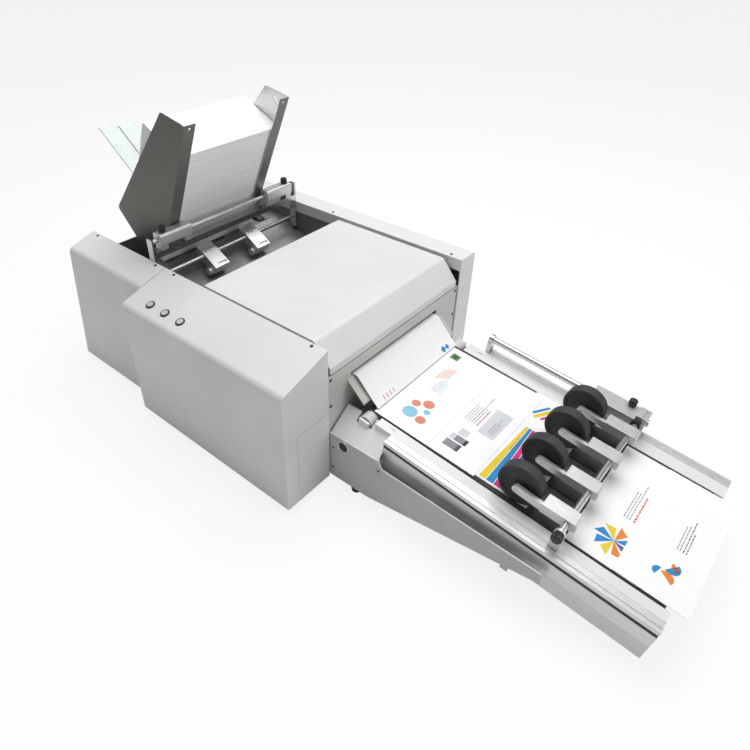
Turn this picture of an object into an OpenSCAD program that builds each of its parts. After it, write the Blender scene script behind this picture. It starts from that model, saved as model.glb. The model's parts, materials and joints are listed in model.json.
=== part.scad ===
// Tabletop envelope printer with a leaning hopper feeder and a belt conveyor.
// Millimetres, +X along the paper's travel, +Y away from the operator, +Z up.
// Inside the modules x = 0 is the output end face, y = 0 the inner edge of the near
// covers and z = 0 the desk. place() then moves the origin to the middle of the
// footprint. On the conveyor, s runs down the slope and w stands square to the belts.

/* [Body] */
// Length of the printer body along the paper path
body_l = 648; // [600:1:700]
// Clear width between the near and far covers
well_w = 384; // [376:1:410]
// Height of the cover tops above the desk
body_h = 285; // [275:1:310]
// Width of the far side cover
side_w = 49; // [40:1:58]
// Width of the near rear cover at its bend
rear_w = 60; // [50:1:70]
// Width of the control cover
control_w = 104; // [96:1:115]
// Length of the control cover
control_l = 405; // [390:1:420]
// How far the rear cover's side leans out at its foot
draft = 15; // [8:1:20]
// Slope of the near covers' tops, in degrees
top_slope = 17.2; // [12:0.1:20]
// Wall thickness of the moulded covers
wall = 2.5; // [2:0.1:3]
// Bend radius of the moulded covers
bend_r = 14; // [8:1:18]
// Gap between neighbouring covers
seam = 1.5; // [0.8:0.1:2]
// Depth of the covers' inner lips
lip_d = 24; // [16:1:28]
// Height of the rubber feet
foot_h = 14; // [10:1:18]
// Radius of the rubber feet
foot_r = 17; // [12:1:20]
// Thickness of the steel chassis sheet
sheet = 3; // [2:0.1:3]

/* [Top cover] */
// Distance of the top cover's rear edge from the output end
lid_l = 303; // [295:1:310]
// Distance of its fold from the output end
lid_fold = 36; // [30:1:42]
// How far its top lies below the side covers
lid_drop = 3; // [2:0.5:4]
// Gap beside the top cover
lid_gap = 8; // [6:0.5:9]
// Height of the slanted front face
lid_slant_h = 39; // [34:1:44]
// Height of the upright front lip
lid_lip = 12; // [8:1:14]
// Drop of the hinge axis below the cover tops
hinge_drop = 34; // [32:1:40]
// Radius of the hinge pins
hinge_r = 4; // [3:0.5:5]

/* [Output end] */
// Drop of the output end plate's top edge below the cover tops
end_drop = 56; // [55:1:58]
// Drop of the exit slot's upper edge
slot_drop = 77; // [74:1:80]
// Height of the exit slot
slot_h = 8; // [7:0.5:9]
// Side clearance of an envelope in the exit slot
slot_side = 6; // [4:1:8]
// Reach of the exit chute past the end face
chute_l = 34; // [30:1:36]
// Fall of the exit chute
chute_fall = 37; // [33:1:38]

/* [Media] */
// Long side of the widest envelope
env_l = 241.3; // [235:0.1:245]
// Short side of the envelope
env_w = 104.8; // [100:0.1:110]
// Thickness of an envelope
env_t = 0.7; // [0.5:0.1:0.9]
// Height of the loaded stack along its lean
stack_h = 263; // [150:1:265]

/* [Hopper] */
// Distance of the guide bar from the body's rear end
bar_in = 203; // [200:1:206]
// Height of the guide rod above the cover tops
rod_up = 37; // [34:1:40]
// Radius of the guide rod
rod_r = 5; // [4:0.5:6]
// Forward lean of the side guides from upright, in degrees
guide_lean = 24.7; // [22:0.1:26]
// Height of the side guides above the cover tops
guide_up = 266; // [250:1:270]
// Width of a side guide's top
guide_top_w = 63; // [56:1:66]
// Width of a side guide's front flange
flange_w = 23; // [18:1:26]
// Thickness of the side guides
guide_t = 1.5; // [1.2:0.1:2]
// Side clearance between the stack and a guide
guide_gap = 1; // [0.6:0.1:1.5]
// Travel of a side guide away from the stack
guide_travel = 14; // [8:1:16]
// Length of a guide clamp along the bar
clamp_l = 72; // [60:1:76]
// Depth of a guide clamp
clamp_d = 24; // [22:1:26]
// Slope of the rear ramp, in degrees
ramp_slope = 37; // [34:0.1:40]
// Width of the rear ramp
ramp_w = 85; // [70:1:100]
// Overhang of the ramp behind the body's rear end
ramp_over = 150; // [135:1:160]
// Thickness of the rear ramp
ramp_t = 3; // [2:0.5:4]
// Distance of the separator shaft from the body's rear end
sep_in = 202; // [199:1:204]
// Drop of the separator shaft below the cover tops
sep_drop = 37; // [35:1:40]
// Radius of the separator shaft
sep_r = 4.5; // [4:0.5:5]
// Width of a separator
sep_w = 36; // [30:1:38]
// Radius of the feed rollers
feed_r = 15; // [13:0.5:16]
// Spacing of the feed rollers
feed_pitch = 62; // [56:1:63]

/* [Conveyor] */
// Length of the conveyor along its belts
conv_l = 548; // [520:1:570]
// Downward slope of the conveyor, in degrees
decline = 7; // [6:0.1:8]
// Drop of the belt plane below the cover tops at the end face
deck_drop = 128; // [126:0.5:130]
// Distance of the near rail's outer face from the near inner edge
rail_y = 18; // [14:1:22]
// Width of a side rail
rail_w = 20; // [20:1:24]
// Height of a side rail
rail_h = 40; // [36:1:44]
// Radius of the belt rollers
roll_r = 14; // [12:0.5:15]
// Distance of the drive roller from the end face
drive_s = 48; // [46:1:52]
// Width of a conveyor belt
belt_w = 26; // [22:1:27]
// Thickness of a conveyor belt
belt_t = 1.6; // [1.2:0.1:2]
// Distance of the wheel axles from the end face
wheel_s = 308; // [300:1:312]
// Radius of the kick wheels
wheel_r = 34.5; // [32:0.5:35]
// Width of a kick wheel
wheel_w = 20; // [14:1:22]
// Distance of the cross shaft from the end face
cross_s = 388; // [384:1:392]
// Radius of the cross shaft
cross_r = 5; // [4:0.5:6]
// Carriage travel towards the printer
carriage_travel = 150; // [80:5:160]

/* [Controls] */
// Radius of the push buttons
button_r = 6; // [5:0.5:7]
// Travel of the push buttons
button_travel = 1.5; // [1:0.1:2]
// Spacing of the push buttons
button_pitch = 42; // [38:1:46]

/* [Hidden] */

// Overrun of every cut, the clearance of seated pieces and of running fits
cut = 1;
seat = 0.3;
fit = 0.08;
// Round surfaces and small rounds
round_fn = 64;
small_fn = 32;

// Chassis: side frames stand just outside the well, the pan lies on the feet
frame_gap = 5;
pan_z = foot_h;
floor_z = pan_z + sheet;
frame_y0 = -frame_gap - sheet;
frame_y1 = well_w + frame_gap;
frame_front = frame_gap;
rear_inset = 8;
chassis_back = body_l - rear_inset;
foot_hide = 2;
cover_foot = foot_h - foot_hide;
bar_back = body_l - bar_in;
ramp_back = body_l + ramp_over;
sep_back = body_l - sep_in;
top_z = body_h;
tan_top = tan(top_slope);
near_frame_top = top_z - wall / cos(top_slope) - (frame_gap + sheet) * tan_top - seat;
far_frame_top = top_z - wall - 5 * seat;
pan_lip = 14;
back_plate_drop = 42;
back_plate_top = top_z - back_plate_drop;
rear_foot_inset = 60;
foot_recess_r = 5;
foot_recess_d = 4;

// Paper path: the envelopes run down the middle of the guides
guide_y0 = 57.5;
path_off = 7;
guide_y1 = guide_y0 + env_l + 2 * guide_gap;
path_y = (guide_y0 + guide_y1) / 2 + path_off;
env_y0 = path_y - env_l / 2;
env_y1 = path_y + env_l / 2;
slot_top = top_z - slot_drop;
slot_bottom = slot_top - slot_h;
platen_z = slot_bottom - seat;
platen_t = 3;
platen_lead = 45;
platen_back = bar_back - platen_lead;
platen_front = 44;

// Top cover
lid_top = top_z - lid_drop;
lid_y0 = lid_gap;
lid_y1 = well_w - lid_gap;
lid_front = 2.5;
hinge_in = 8;
hinge_x = -lid_l + hinge_in;
hinge_z = top_z - hinge_drop;
ear_w = 5;
ear_d = 14;

// Side guide outline, in x and z, from the fold line of the front flange
fold_back = 6.4;
fold_up = 58;
fold_x = -bar_back - fold_back;
fold_z = top_z + fold_up;
lean_t = tan(guide_lean);
function fold_at(z) = fold_x + (z - fold_z) * lean_t;
clamp_under = 8;
clamp_h = 21;
clamp_z0 = top_z + rod_up - clamp_under;
clamp_z1 = clamp_z0 + clamp_h;
clamp_x0 = fold_at(clamp_z1);
clamp_x1 = clamp_x0 + clamp_d;
guide_fold_drop = 12;
guide_top_z = top_z + guide_up;
guide_fold_z = guide_top_z - guide_fold_drop;
guide_rear = 184;
guide_rear_up = 40;
guide_low = 117;
guide_low_drop = 33;
guide_rear_x = -bar_back - guide_rear;
guide_rear_z = top_z + guide_rear_up;
guide_low_x = -bar_back - guide_low;
guide_low_z = top_z - guide_low_drop;
guide_step = 4;
guide_inner_x = clamp_x0 - guide_step;
guide_slot_w = 5;
guide_slot_l = 18;
guide_slot_slope = 47.8;
guide_tab = 18;
guide_corner_r = 7;

// Feed table and stack
feed_drop = 48;
feed_z = top_z - feed_drop;
feed_sleeve_w = 18;
feed_first_y = 86;
feed_count = 5;
feed_core_r = 5;
function feed_sleeve_y(i) = feed_first_y + i * feed_pitch - feed_sleeve_w / 2;
feed_flat = 47;
feed_slope_x = -bar_back - feed_flat;
table_t = 2;
stack_lift = 3.6;
stack_face_gap = 2.5;
stack_gap = stack_face_gap / cos(guide_lean);
stack_foot_z = feed_z + stack_lift;
stack_foot_x = fold_at(stack_foot_z) - stack_gap;

// Ramp, from its foot at the table to its upper end
ramp_foot = 90.6;
ramp_foot_x = -bar_back - ramp_foot;
ramp_foot_z = feed_z;
table_back = -ramp_foot_x - seat;
cradle_l = 90;
cradle_w = 28;
cradle_t = 8;
cradle_nose = 6;
ramp_len = (ramp_back + ramp_foot_x) / cos(ramp_slope);
ramp_slot_w = 4;
ramp_slot_end = 10;
// The stack's lower face rests on the feed rollers in front and on the ramp behind
foot_above_ramp = (stack_foot_z - ramp_foot_z) * cos(ramp_slope)
    + (stack_foot_x - ramp_foot_x) * sin(ramp_slope);
stack_slope = ramp_slope - asin((foot_above_ramp - seat) / env_w);
feed_from_foot = 6;
feed_x = stack_foot_x - feed_from_foot * cos(stack_slope) - (feed_r + seat) * sin(stack_slope);
feed_axis_z = stack_foot_z + feed_from_foot * sin(stack_slope) - (feed_r + seat) * cos(stack_slope);

// Conveyor values, in the sloping frame
deck_z = top_z - deck_drop;
conv_y0 = rail_y;
conv_y1 = 2 * path_y - rail_y;
strip_w = 18;
far_strip_w = 26;
inner_y0 = conv_y0 + rail_w;
inner_y1 = conv_y1 - rail_w;
chassis_t = 2.5;
skirt_h = 62;
roll_w_axis = -belt_t - roll_r - fit;
idler_in = 21;
idler_s = conv_l - idler_in;
belt_pass = 2.4;
panel_out = 15;
bracket_y0 = rail_y - panel_out;
bracket_y1 = conv_y1 + panel_out;
bracket_l = 100;
bracket_drop = 172;
rail_gap = 1;
rail_s0 = bracket_l + rail_gap;
wheel_w_axis = wheel_r + belt_pass;
cross_w = 34;
arm_t = 7;
arm_w = 25;
arm_gap = 2;
arm_offsets = [-132, -58, 21, 91];
arm_ys = [for (off = arm_offsets) path_y + off];
belt_in = 4;
axle_r = 3;
bar_w = 27;
bar_inset = 9;
bar_y = conv_y1 - bar_inset;
bar_r = 6;
bar_s0 = 107;
bar_s1 = 404;

// Origin of the placed model: the middle of the footprint
rear_end = -ramp_back - ramp_t * sin(ramp_slope);
last_over = 21;
last_lead_s = conv_l + last_over;
last_w = env_t + 2 * seat;
front_end = last_lead_s * cos(decline) + (last_w + env_t) * sin(decline);
mid_x = (rear_end + front_end) / 2;
mid_y = (well_w + side_w - control_w) / 2;

// Helpers: a solid from an outline in x and z or in y and z, and a bar along Y
module place() { translate([-mid_x, -mid_y, 0]) children(); }
module along_y(y0, y1) { translate([0, y1, 0]) rotate([90, 0, 0]) linear_extrude(y1 - y0) children(); }
module along_x(x0, x1) { translate([x0, 0, 0]) rotate([90, 0, 90]) linear_extrude(x1 - x0) children(); }
module bar_along_y(r, y0, y1, x, z, fn = round_fn) {
    translate([x, y1, z]) rotate([90, 0, 0]) cylinder(r = r, h = y1 - y0, $fn = fn);
}
module block(x0, x1, y0, y1, z0, z1) { translate([x0, y0, z0]) cube([x1 - x0, y1 - y0, z1 - z0]); }
module on_conveyor() { translate([0, 0, deck_z]) rotate([0, decline, 0]) children(); }
function arc(cx, cy, r, a0, a1, n) = [for (i = [0 : n]) let (a = a0 + (a1 - a0) * i / n) [cx
    + r * cos(a), cy + r * sin(a)]];

// Body pieces

// Folded chassis pan with an upright rear plate
module base_chassis() {
    color("#9a9c9c") place() difference() {
        union() {
            block(-chassis_back, -frame_front, -rear_w - draft + wall + 2 * seat, well_w + side_w - wall - seat,
                pan_z, floor_z);
            block(-control_l + wall + seam, -frame_front, -control_w + wall + seat, frame_y0, pan_z, floor_z);
            block(-chassis_back, -chassis_back + sheet, frame_y0, frame_y1 + sheet, pan_z, back_plate_top);
            block(-chassis_back, -frame_front, well_w + side_w - wall - seat - sheet,
                well_w + side_w - wall - seat, pan_z, floor_z + pan_lip);
            block(-control_l + wall + seam, -frame_front, -control_w + wall + seat,
                -control_w + wall + seat + sheet, pan_z, floor_z + pan_lip);
        }
        block(-chassis_back - cut, -chassis_back + sheet + cut, inlet_y0 + inlet_rim, inlet_y1 - inlet_rim,
            inlet_z0 + inlet_rim, inlet_z1 - inlet_rim);
    }
}

foot_xs = [-body_l + rear_foot_inset, -rear_foot_inset];
foot_ys = [0, well_w];
leg_in = 95;
leg_w = 36;
leg_s = conv_l - leg_in;
conv_foot_xs = [bracket_l / 2, leg_s + leg_w / 2];
conv_foot_r = 11;
module rubber_feet() {
    color("#2b2b2b") place() {
        for (x = foot_xs, y = foot_ys) foot(x, y, foot_r);
        for (y = [conv_leg_y0 + conv_foot_in, conv_leg_y1 - conv_foot_in])
            foot(conv_foot_xs[1], y, conv_foot_r);
        for (y = [bracket_y0 + conv_foot_in, bracket_y1 - conv_foot_in])
            foot(conv_foot_xs[0], y, conv_foot_r);
    }
}
module foot(x, y, r) {
    translate([x, y, 0]) difference() {
        cylinder(r1 = r - foot_taper, r2 = r, h = foot_h, $fn = round_fn);
        translate([0, 0, -cut]) cylinder(r = foot_recess_r, h = foot_recess_d + cut, $fn = small_fn);
    }
}
foot_taper = 2;
conv_foot_in = 12;

// Side frame outline in x and z, with the bearing holes of the path's shafts
feed_pulley_r = 12;
exit_r = 12;
exit_x = -24;
exit_rise = 0.6;
exit_axis_z = platen_z - exit_r + exit_rise;
exit_core_r = 5;
motor_x = -300;
motor_drop = 150;
motor_z = top_z - motor_drop;
frame_step = 4;
frame_front_l = 30;
frame_rear_l = 40;
motor_boss_r = 10;
module side_frame(y0, frame_top) {
    difference() {
        along_y(y0, y0 + sheet) polygon([
            [-chassis_back + sheet, floor_z],
            [-frame_front, floor_z],
            [-frame_front, top_z - end_drop - frame_step],
            [-lid_fold - frame_front_l, frame_top],
            [-chassis_back + sheet + frame_rear_l, frame_top],
            [-chassis_back + sheet, back_plate_top]]);
        bar_along_y(hinge_r + fit, y0 - cut, y0 + sheet + cut, hinge_x, hinge_z);
        bar_along_y(feed_core_r + fit, y0 - cut, y0 + sheet + cut, feed_x, feed_axis_z);
        bar_along_y(exit_core_r + fit, y0 - cut, y0 + sheet + cut, exit_x, exit_axis_z);
        bar_along_y(sep_r, y0 - cut, y0 + sheet + cut, -sep_back, top_z - sep_drop);
    }
}
module near_side_frame() {
    color("#a6a7a5") place() difference() {
        side_frame(frame_y0, near_frame_top);
        bar_along_y(motor_boss_r, frame_y0 - cut, -frame_gap + cut, motor_x, motor_z);
    }
}
module far_side_frame() { color("#a6a7a5") place() side_frame(frame_y1, far_frame_top); }

// Outline of a near cover in y and z, drawn in by the wall for its inside
function cover_outline(w, foot_w, t) = let (
        slope_t = t / cos(top_slope),
        r = max(bend_r - t, wall),
        side = -w + t,
        cy = side + r,
        lower = top_z - slope_t + cy * tan_top - r / cos(top_slope)
    ) concat(
        [[-t, top_z - slope_t - t * tan_top]],
        arc(cy, lower, r, 90 + top_slope, 180, 8),
        [[-foot_w + t, cover_foot - (t > 0 ? cut : 0)],
         [-t, cover_foot - (t > 0 ? cut : 0)]]);

module cover_shell(w, foot_w, x0, x1) {
    difference() {
        along_x(x0, x1) polygon(cover_outline(w, foot_w, 0));
        along_x(x0 + wall, x1 - wall) polygon(cover_outline(w, foot_w, wall));
        block(x0 + wall, x1 - wall, -wall - cut, cut, cover_foot - cut, top_z - lip_d);
    }
}

rear_end_x = -body_l;
module seam_cut(x0, x1) {
    block(x0, x1, -rear_w - draft - cut, cut, cover_foot - cut, top_z - lip_d - bend_r);
    block(x0, x1, frame_y0 - seat, -wall, top_z - lip_d - bend_r - cut, near_frame_top + seat);
}
module near_rear_cover() {
    color("#dddddc") place() difference() {
        cover_shell(rear_w, rear_w + draft, rear_end_x - draft, -control_l - seam);
        rear_draft_cut(-rear_w - draft, 0);
        seam_cut(-control_l - seam - wall - cut, cut - control_l);
        near_screw_holes(near_rear_screws);
    }
    color("#dddddc") place() rear_wall(-rear_w - draft, 0, rear_w, rear_w + draft);
}
// The rear ends lean out from the top to the foot
function lean_line(d) = [[rear_end_x + d, top_z + cut], [rear_end_x - draft + d, cover_foot - cut]];
module rear_draft_cut(y0, y1) {
    along_y(y0 - cut, y1 + cut) polygon(concat(lean_line(0),
        [[rear_end_x - 2 * draft - wall, cover_foot - cut], [rear_end_x - 2 * draft - wall, top_z + cut]]));
}
module rear_wall(y0, y1, w, foot_w) {
    intersection() {
        along_x(rear_end_x - draft - cut, rear_end_x + draft) polygon(cover_outline(w, foot_w, 0));
        along_y(y0 - cut, y1 + cut) polygon(concat(lean_line(0), [lean_line(wall)[1], lean_line(wall)[0]]));
    }
}

// Control cover with three button holes, their rims and the seam lines of its end panel
button_x = -351;
button_y = -76.5;
button_z = top_z + button_y * tan_top;
rim_w = 2;
rim_h = 1;
end_panel_y = -75;
end_panel_drop = 126;
end_panel_h = 120;
end_panel_top = top_z - end_panel_drop;
end_panel_foot = end_panel_top - end_panel_h;
groove = 0.9;
module at_button(i) {
    translate([button_x + i * button_pitch, button_y, button_z]) rotate([top_slope, 0, 0]) children();
}
module control_cover() {
    color("#dddddc") place() difference() {
        union() {
            cover_shell(control_w, control_w, -control_l, 0);
            for (i = [0 : 2]) at_button(i) translate([0, 0, -wall / 2])
                cylinder(r = button_r + fit + rim_w, h = wall / 2 + rim_h, $fn = round_fn);
        }
        for (i = [0 : 2]) at_button(i) translate([0, 0, -2 * wall])
            cylinder(r = button_r + fit, h = 4 * wall, $fn = round_fn);
        seam_cut(-control_l - cut, -control_l + wall + cut);
        block(-groove, cut, end_panel_y - groove, end_panel_y, end_panel_foot, end_panel_top);
        block(-groove, cut, end_panel_y - groove, cut, end_panel_top - groove, end_panel_top);
        near_screw_holes(control_screws);
    }
}

module far_side_cover() {
    color("#dddddc") place() difference() {
        along_x(-body_l, 0) polygon(far_outline(0));
        along_x(-body_l + wall, -wall) polygon(far_outline(wall));
        block(-body_l + wall, -wall, well_w - cut, well_w + wall + cut, cover_foot - cut, top_z - lip_d);
        screw_holes(far_screws, far_screw_y);
    }
}
far_bend_r = 7;
function far_outline(t) = let (r = max(far_bend_r - t, wall)) concat(
    [[well_w + t, cover_foot - (t > 0 ? cut : 0)], [well_w + side_w - t, cover_foot - (t > 0 ? cut : 0)]],
    arc(well_w + side_w - t - r, top_z - t - r, r, 0, 90, 6),
    [[well_w + t, top_z - t]]);

// Cover screws: heads on the surface, shanks filling their holes
screw_r = 1.5;
head_r = 3;
head_h = 1.2;
shank_over = 1;
shank_l = wall + shank_over;
screw_in = 24;
screw_seam = 32;
screw_front = 29;
screw_far = 30;
near_rear_screws = [-body_l + screw_in, -control_l - screw_in];
control_screws = [-control_l + screw_seam, -screw_front];
far_screws = [-lid_l - screw_far, -screw_front];
near_screw_y = -5;
far_screw_in = 9;
far_screw_y = well_w + far_screw_in;
end_screw_in = 8;
end_screw_high = 8;
end_screw_low = 62;
end_screws = [for (y = [end_screw_in, well_w - end_screw_in], d = [end_screw_high, end_screw_low]) [y,
    -end_drop - d]];
module screw_holes(xs, y) {
    for (x = xs) translate([x, y, top_z - 3 * wall]) cylinder(r = screw_r, h = 4 * wall, $fn = small_fn);
}
module near_screw_holes(xs) {
    for (x = xs) at_near_screw(x) translate([0, 0, -shank_l - cut])
        cylinder(r = screw_r, h = shank_l + wall, $fn = small_fn);
}
module screw() {
    cylinder(r = head_r, h = head_h, $fn = small_fn);
    translate([0, 0, -shank_l]) cylinder(r = screw_r, h = shank_l, $fn = small_fn);
}
module cover_screws() {
    color("#3a3a3a") place() {
        for (x = near_rear_screws) at_near_screw(x) screw();
        for (x = control_screws) at_near_screw(x) screw();
        for (x = far_screws) translate([x, far_screw_y, top_z]) screw();
        for (p = end_screws) translate([-wall, p[0], top_z + p[1]]) rotate([0, 90, 0]) screw();
    }
}
module at_near_screw(x) {
    translate([x, near_screw_y, top_z + near_screw_y * tan_top]) rotate([top_slope, 0, 0]) children();
}

// Output end plate with the exit slot, and the chute below it
plate_y0 = seam / 2;
plate_y1 = well_w - seam / 2;
plate_flange = 12;
module output_end_plate() {
    color("#b4b5b0") place() difference() {
        union() {
            block(-2 * wall, -wall, plate_y0, plate_y1, floor_z, top_z - end_drop);
            block(-wall - plate_flange, -wall, lid_y0, lid_y1, top_z - end_drop - wall, top_z - end_drop);
        }
        block(-2 * wall - cut, cut, env_y0 - slot_side, env_y1 + slot_side, slot_bottom, slot_top);
        for (p = end_screws) translate([-4 * wall, p[0], top_z + p[1]]) rotate([0, 90, 0])
            cylinder(r = screw_r, h = 4 * wall, $fn = small_fn);
    }
}
chute_t = 2;
chute_side = 16;
chute_turn = 12;
module exit_chute() {
    color("#c9cac6") place() along_y(env_y0 - chute_side, env_y1 + chute_side) polygon([
        [-wall, slot_bottom - chute_t],
        [-wall, slot_bottom - 2 * chute_t],
        [-wall, slot_bottom - chute_turn],
        [chute_t - wall, slot_bottom - chute_turn],
        [chute_t - wall, slot_bottom - 2 * chute_t - chute_t],
        [chute_l, slot_bottom - chute_t - chute_fall],
        [chute_l, slot_bottom - chute_fall + chute_t]]);
}

// Feed table under the hopper: flat below the stack, then sloping to the platen
module feed_deck() {
    color("#8d8f8e") place() difference() {
        union() {
            along_y(-frame_gap, frame_y1) polygon([
                [-table_back, feed_z], [feed_slope_x, feed_z], [-platen_back - seat, platen_z],
                [-platen_back - seat, platen_z - table_t], [feed_slope_x, feed_z - table_t],
                [-table_back, feed_z - table_t]]);
            translate([ramp_foot_x, 0, ramp_foot_z]) rotate([0, ramp_slope, 0])
                block(-cradle_l, cradle_nose, path_y - cradle_w / 2, path_y + cradle_w / 2,
                    -ramp_t - cradle_t, -ramp_t);
            block(-table_back, -table_back + 2 * cradle_nose, path_y - cradle_w / 2, path_y + cradle_w / 2,
                feed_z - 2 * cradle_t, feed_z - table_t);
        }
        for (i = [0 : feed_count - 1])
            block(feed_x - feed_r - cut, feed_x + feed_r + cut, feed_sleeve_y(i) - cut,
                feed_sleeve_y(i) + feed_sleeve_w + cut, feed_z - table_t - cut, feed_z + cut);
    }
}

// Rear ramp: a slotted plate rising to the rear
module rear_ramp() {
    color("#dfe6e2") place() translate([ramp_foot_x, 0, ramp_foot_z]) rotate([0, ramp_slope, 0])
        difference() {
        block(-ramp_len, 0, path_y - ramp_w / 2, path_y + ramp_w / 2, -ramp_t, 0);
        block(-ramp_len + ramp_slot_end, -ramp_len / 3, path_y - ramp_slot_w / 2, path_y + ramp_slot_w / 2,
            -ramp_t - cut, cut);
    }
}

// Guide bar: a round rod over a flat rail with end plates
rail_up = 5;
bar_rail_h = 12;
rail_z0 = top_z + rail_up;
rail_z1 = rail_z0 + bar_rail_h;
bar_x_in = 3;
bar_x_out = 5;
bar_x0 = clamp_x0 + bar_x_in;
bar_x1 = clamp_x1 - bar_x_out;
end_plate_t = 4;
end_foot_gap = 4;
end_foot_drop = 60;
end_foot_top = top_z - lip_d - end_foot_gap;
end_foot_low = top_z - end_foot_drop;
end_over = 2;
end_y0 = seat;
end_y1 = well_w - seat;
module guide_bar() {
    color("#c9ccce") place() bar_along_y(rod_r, end_y0, end_y1, -bar_back, top_z + rod_up);
    color("#b9bcbe") place() difference() {
        union() {
            block(bar_x0, bar_x1, end_y0, end_y1, rail_z0, rail_z1);
            for (y = [end_y0, end_y1 - end_plate_t])
                block(bar_x0, bar_x1, y, y + end_plate_t, end_foot_low, top_z + rod_up + rod_r + end_over);
            block(bar_x0, bar_x1, -frame_gap, end_y0 + end_plate_t, end_foot_low, end_foot_top);
            block(bar_x0, bar_x1, end_y1 - end_plate_t, frame_y1, end_foot_low, end_foot_top);
        }
        bar_along_y(rod_r, -cut, well_w + cut, -bar_back, top_z + rod_up);
        bar_along_y(sep_r, -2 * frame_gap, well_w + 2 * frame_gap, -sep_back, top_z - sep_drop);
    }
}

// Guide clamps run on the rod; the plates stand on them
knob_r = 7;
knob_h = 12;
knob_stem_r = 3;
near_clamp_y0 = end_y0 + end_plate_t + guide_travel;
far_clamp_y1 = end_y1 - end_plate_t - guide_travel;
knob_in = 12;
near_knob_y = near_clamp_y0 + knob_in;
far_knob_y = far_clamp_y1 - knob_in;
knob_x_off = 3;
knob_x = -bar_back + knob_x_off;
clamp_nose = 3;
clamp_round = 5;
shoe_l = 16;
module guide_clamp(y0, knob_y) {
    difference() {
        union() {
            along_y(y0, y0 + clamp_l) polygon(concat(
                [[clamp_x0, clamp_z0], [clamp_x1, clamp_z0]],
                arc(clamp_x1 - clamp_round, clamp_z1 - clamp_round, clamp_round, 0, 90, 6),
                arc(clamp_x0 + clamp_nose, clamp_z1 - clamp_nose, clamp_nose, 90, 180, 4)));
            for (y = [y0, y0 + clamp_l - shoe_l])
                block(clamp_x0 + clamp_nose, clamp_x1 - clamp_nose, y, y + shoe_l, rail_z1 + seat, clamp_z0);
        }
        bar_along_y(rod_r + fit, y0 - cut, y0 + clamp_l + cut, -bar_back, top_z + rod_up);
        translate([knob_x, knob_y, clamp_z1 - knob_stem_l])
            cylinder(r = knob_stem_r + fit, h = knob_stem_l + cut, $fn = small_fn);
    }
}
knob_stem_l = 7;
module near_guide_clamp() { color("#d2d4d4") place() guide_clamp(near_clamp_y0, near_knob_y); }
module far_guide_clamp() { color("#d2d4d4") place() guide_clamp(far_clamp_y1 - clamp_l, far_knob_y); }
grip_out = 0.6;
grip_r = 2;
module knob(r, h) {
    difference() {
        union() {
            translate([0, 0, -knob_stem_l + seat]) cylinder(r = knob_stem_r, h = knob_stem_l, $fn = small_fn);
            translate([0, 0, seat]) cylinder(r = r, h = h, $fn = small_fn);
        }
        for (a = [0 : 60 : 300]) rotate([0, 0, a]) translate([r + grip_out, 0, seat + grip_r])
            cylinder(r = grip_r, h = h, $fn = 16);
    }
}
module near_guide_knob() {
    color("#222222") place() translate([knob_x, near_knob_y, clamp_z1]) knob(knob_r, knob_h);
}
module far_guide_knob() {
    color("#222222") place() translate([knob_x, far_knob_y, clamp_z1]) knob(knob_r, knob_h);
}

module guide_outline() {
    offset(r = guide_corner_r, $fn = small_fn) offset(delta = -guide_corner_r) polygon([
        [fold_at(guide_fold_z) - guide_top_w, guide_top_z],
        [fold_at(guide_fold_z), guide_fold_z],
        [clamp_x0, clamp_z1],
        [clamp_x0, clamp_z1 - guide_tab],
        [guide_inner_x, clamp_z1 - guide_tab],
        [guide_inner_x, rail_z0],
        [guide_low_x, guide_low_z],
        [guide_rear_x, guide_rear_z]]);
    polygon([
        [fold_at(guide_fold_z) - flange_w, guide_fold_z],
        [fold_at(guide_fold_z), guide_fold_z],
        [clamp_x0, clamp_z1],
        [clamp_x0, clamp_z1 - guide_tab],
        [guide_inner_x, clamp_z1 - guide_tab],
        [guide_inner_x, rail_z0 + guide_corner_r],
        [guide_inner_x - flange_w, rail_z0 + guide_corner_r]]);
}
hole_drop = 8;
hole_r = 2.5;
module guide_plate(y, side) {
    y0 = side > 0 ? y - guide_t : y;
    difference() {
        along_y(y0, y0 + guide_t) guide_outline();
        if (side < 0)
            translate([fold_at(guide_fold_z) - guide_top_w + guide_slot_l, y0 - cut,
                guide_top_z - guide_slot_l])
            rotate([0, guide_slot_slope, 0]) cube([guide_slot_l, guide_t + 2 * cut, guide_slot_w]);
    }
    flange_y0 = side > 0 ? y - guide_t : y - flange_w;
    difference() {
        along_y(flange_y0, flange_y0 + flange_w + guide_t) polygon([
            [fold_at(guide_fold_z), guide_fold_z],
            [clamp_x0, clamp_z1],
            [clamp_x0, clamp_z1 - guide_tab],
            [clamp_x0 - guide_t, clamp_z1 - guide_tab],
            [clamp_x0 - guide_t, clamp_z1],
            [fold_at(guide_fold_z) - guide_t / cos(guide_lean), guide_fold_z]]);
        translate([fold_at(guide_fold_z - hole_drop), y + side * flange_w / 2, guide_fold_z - hole_drop])
            rotate([0, 90 + guide_lean, 0]) translate([0, 0, -3 * guide_t])
            cylinder(r = hole_r, h = 6 * guide_t, $fn = small_fn);
    }
}
module near_guide_plate() { color("#6b6c68") place() guide_plate(guide_y0, 1); }
module far_guide_plate() { color("#6b6c68") place() guide_plate(guide_y1, -1); }

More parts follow.
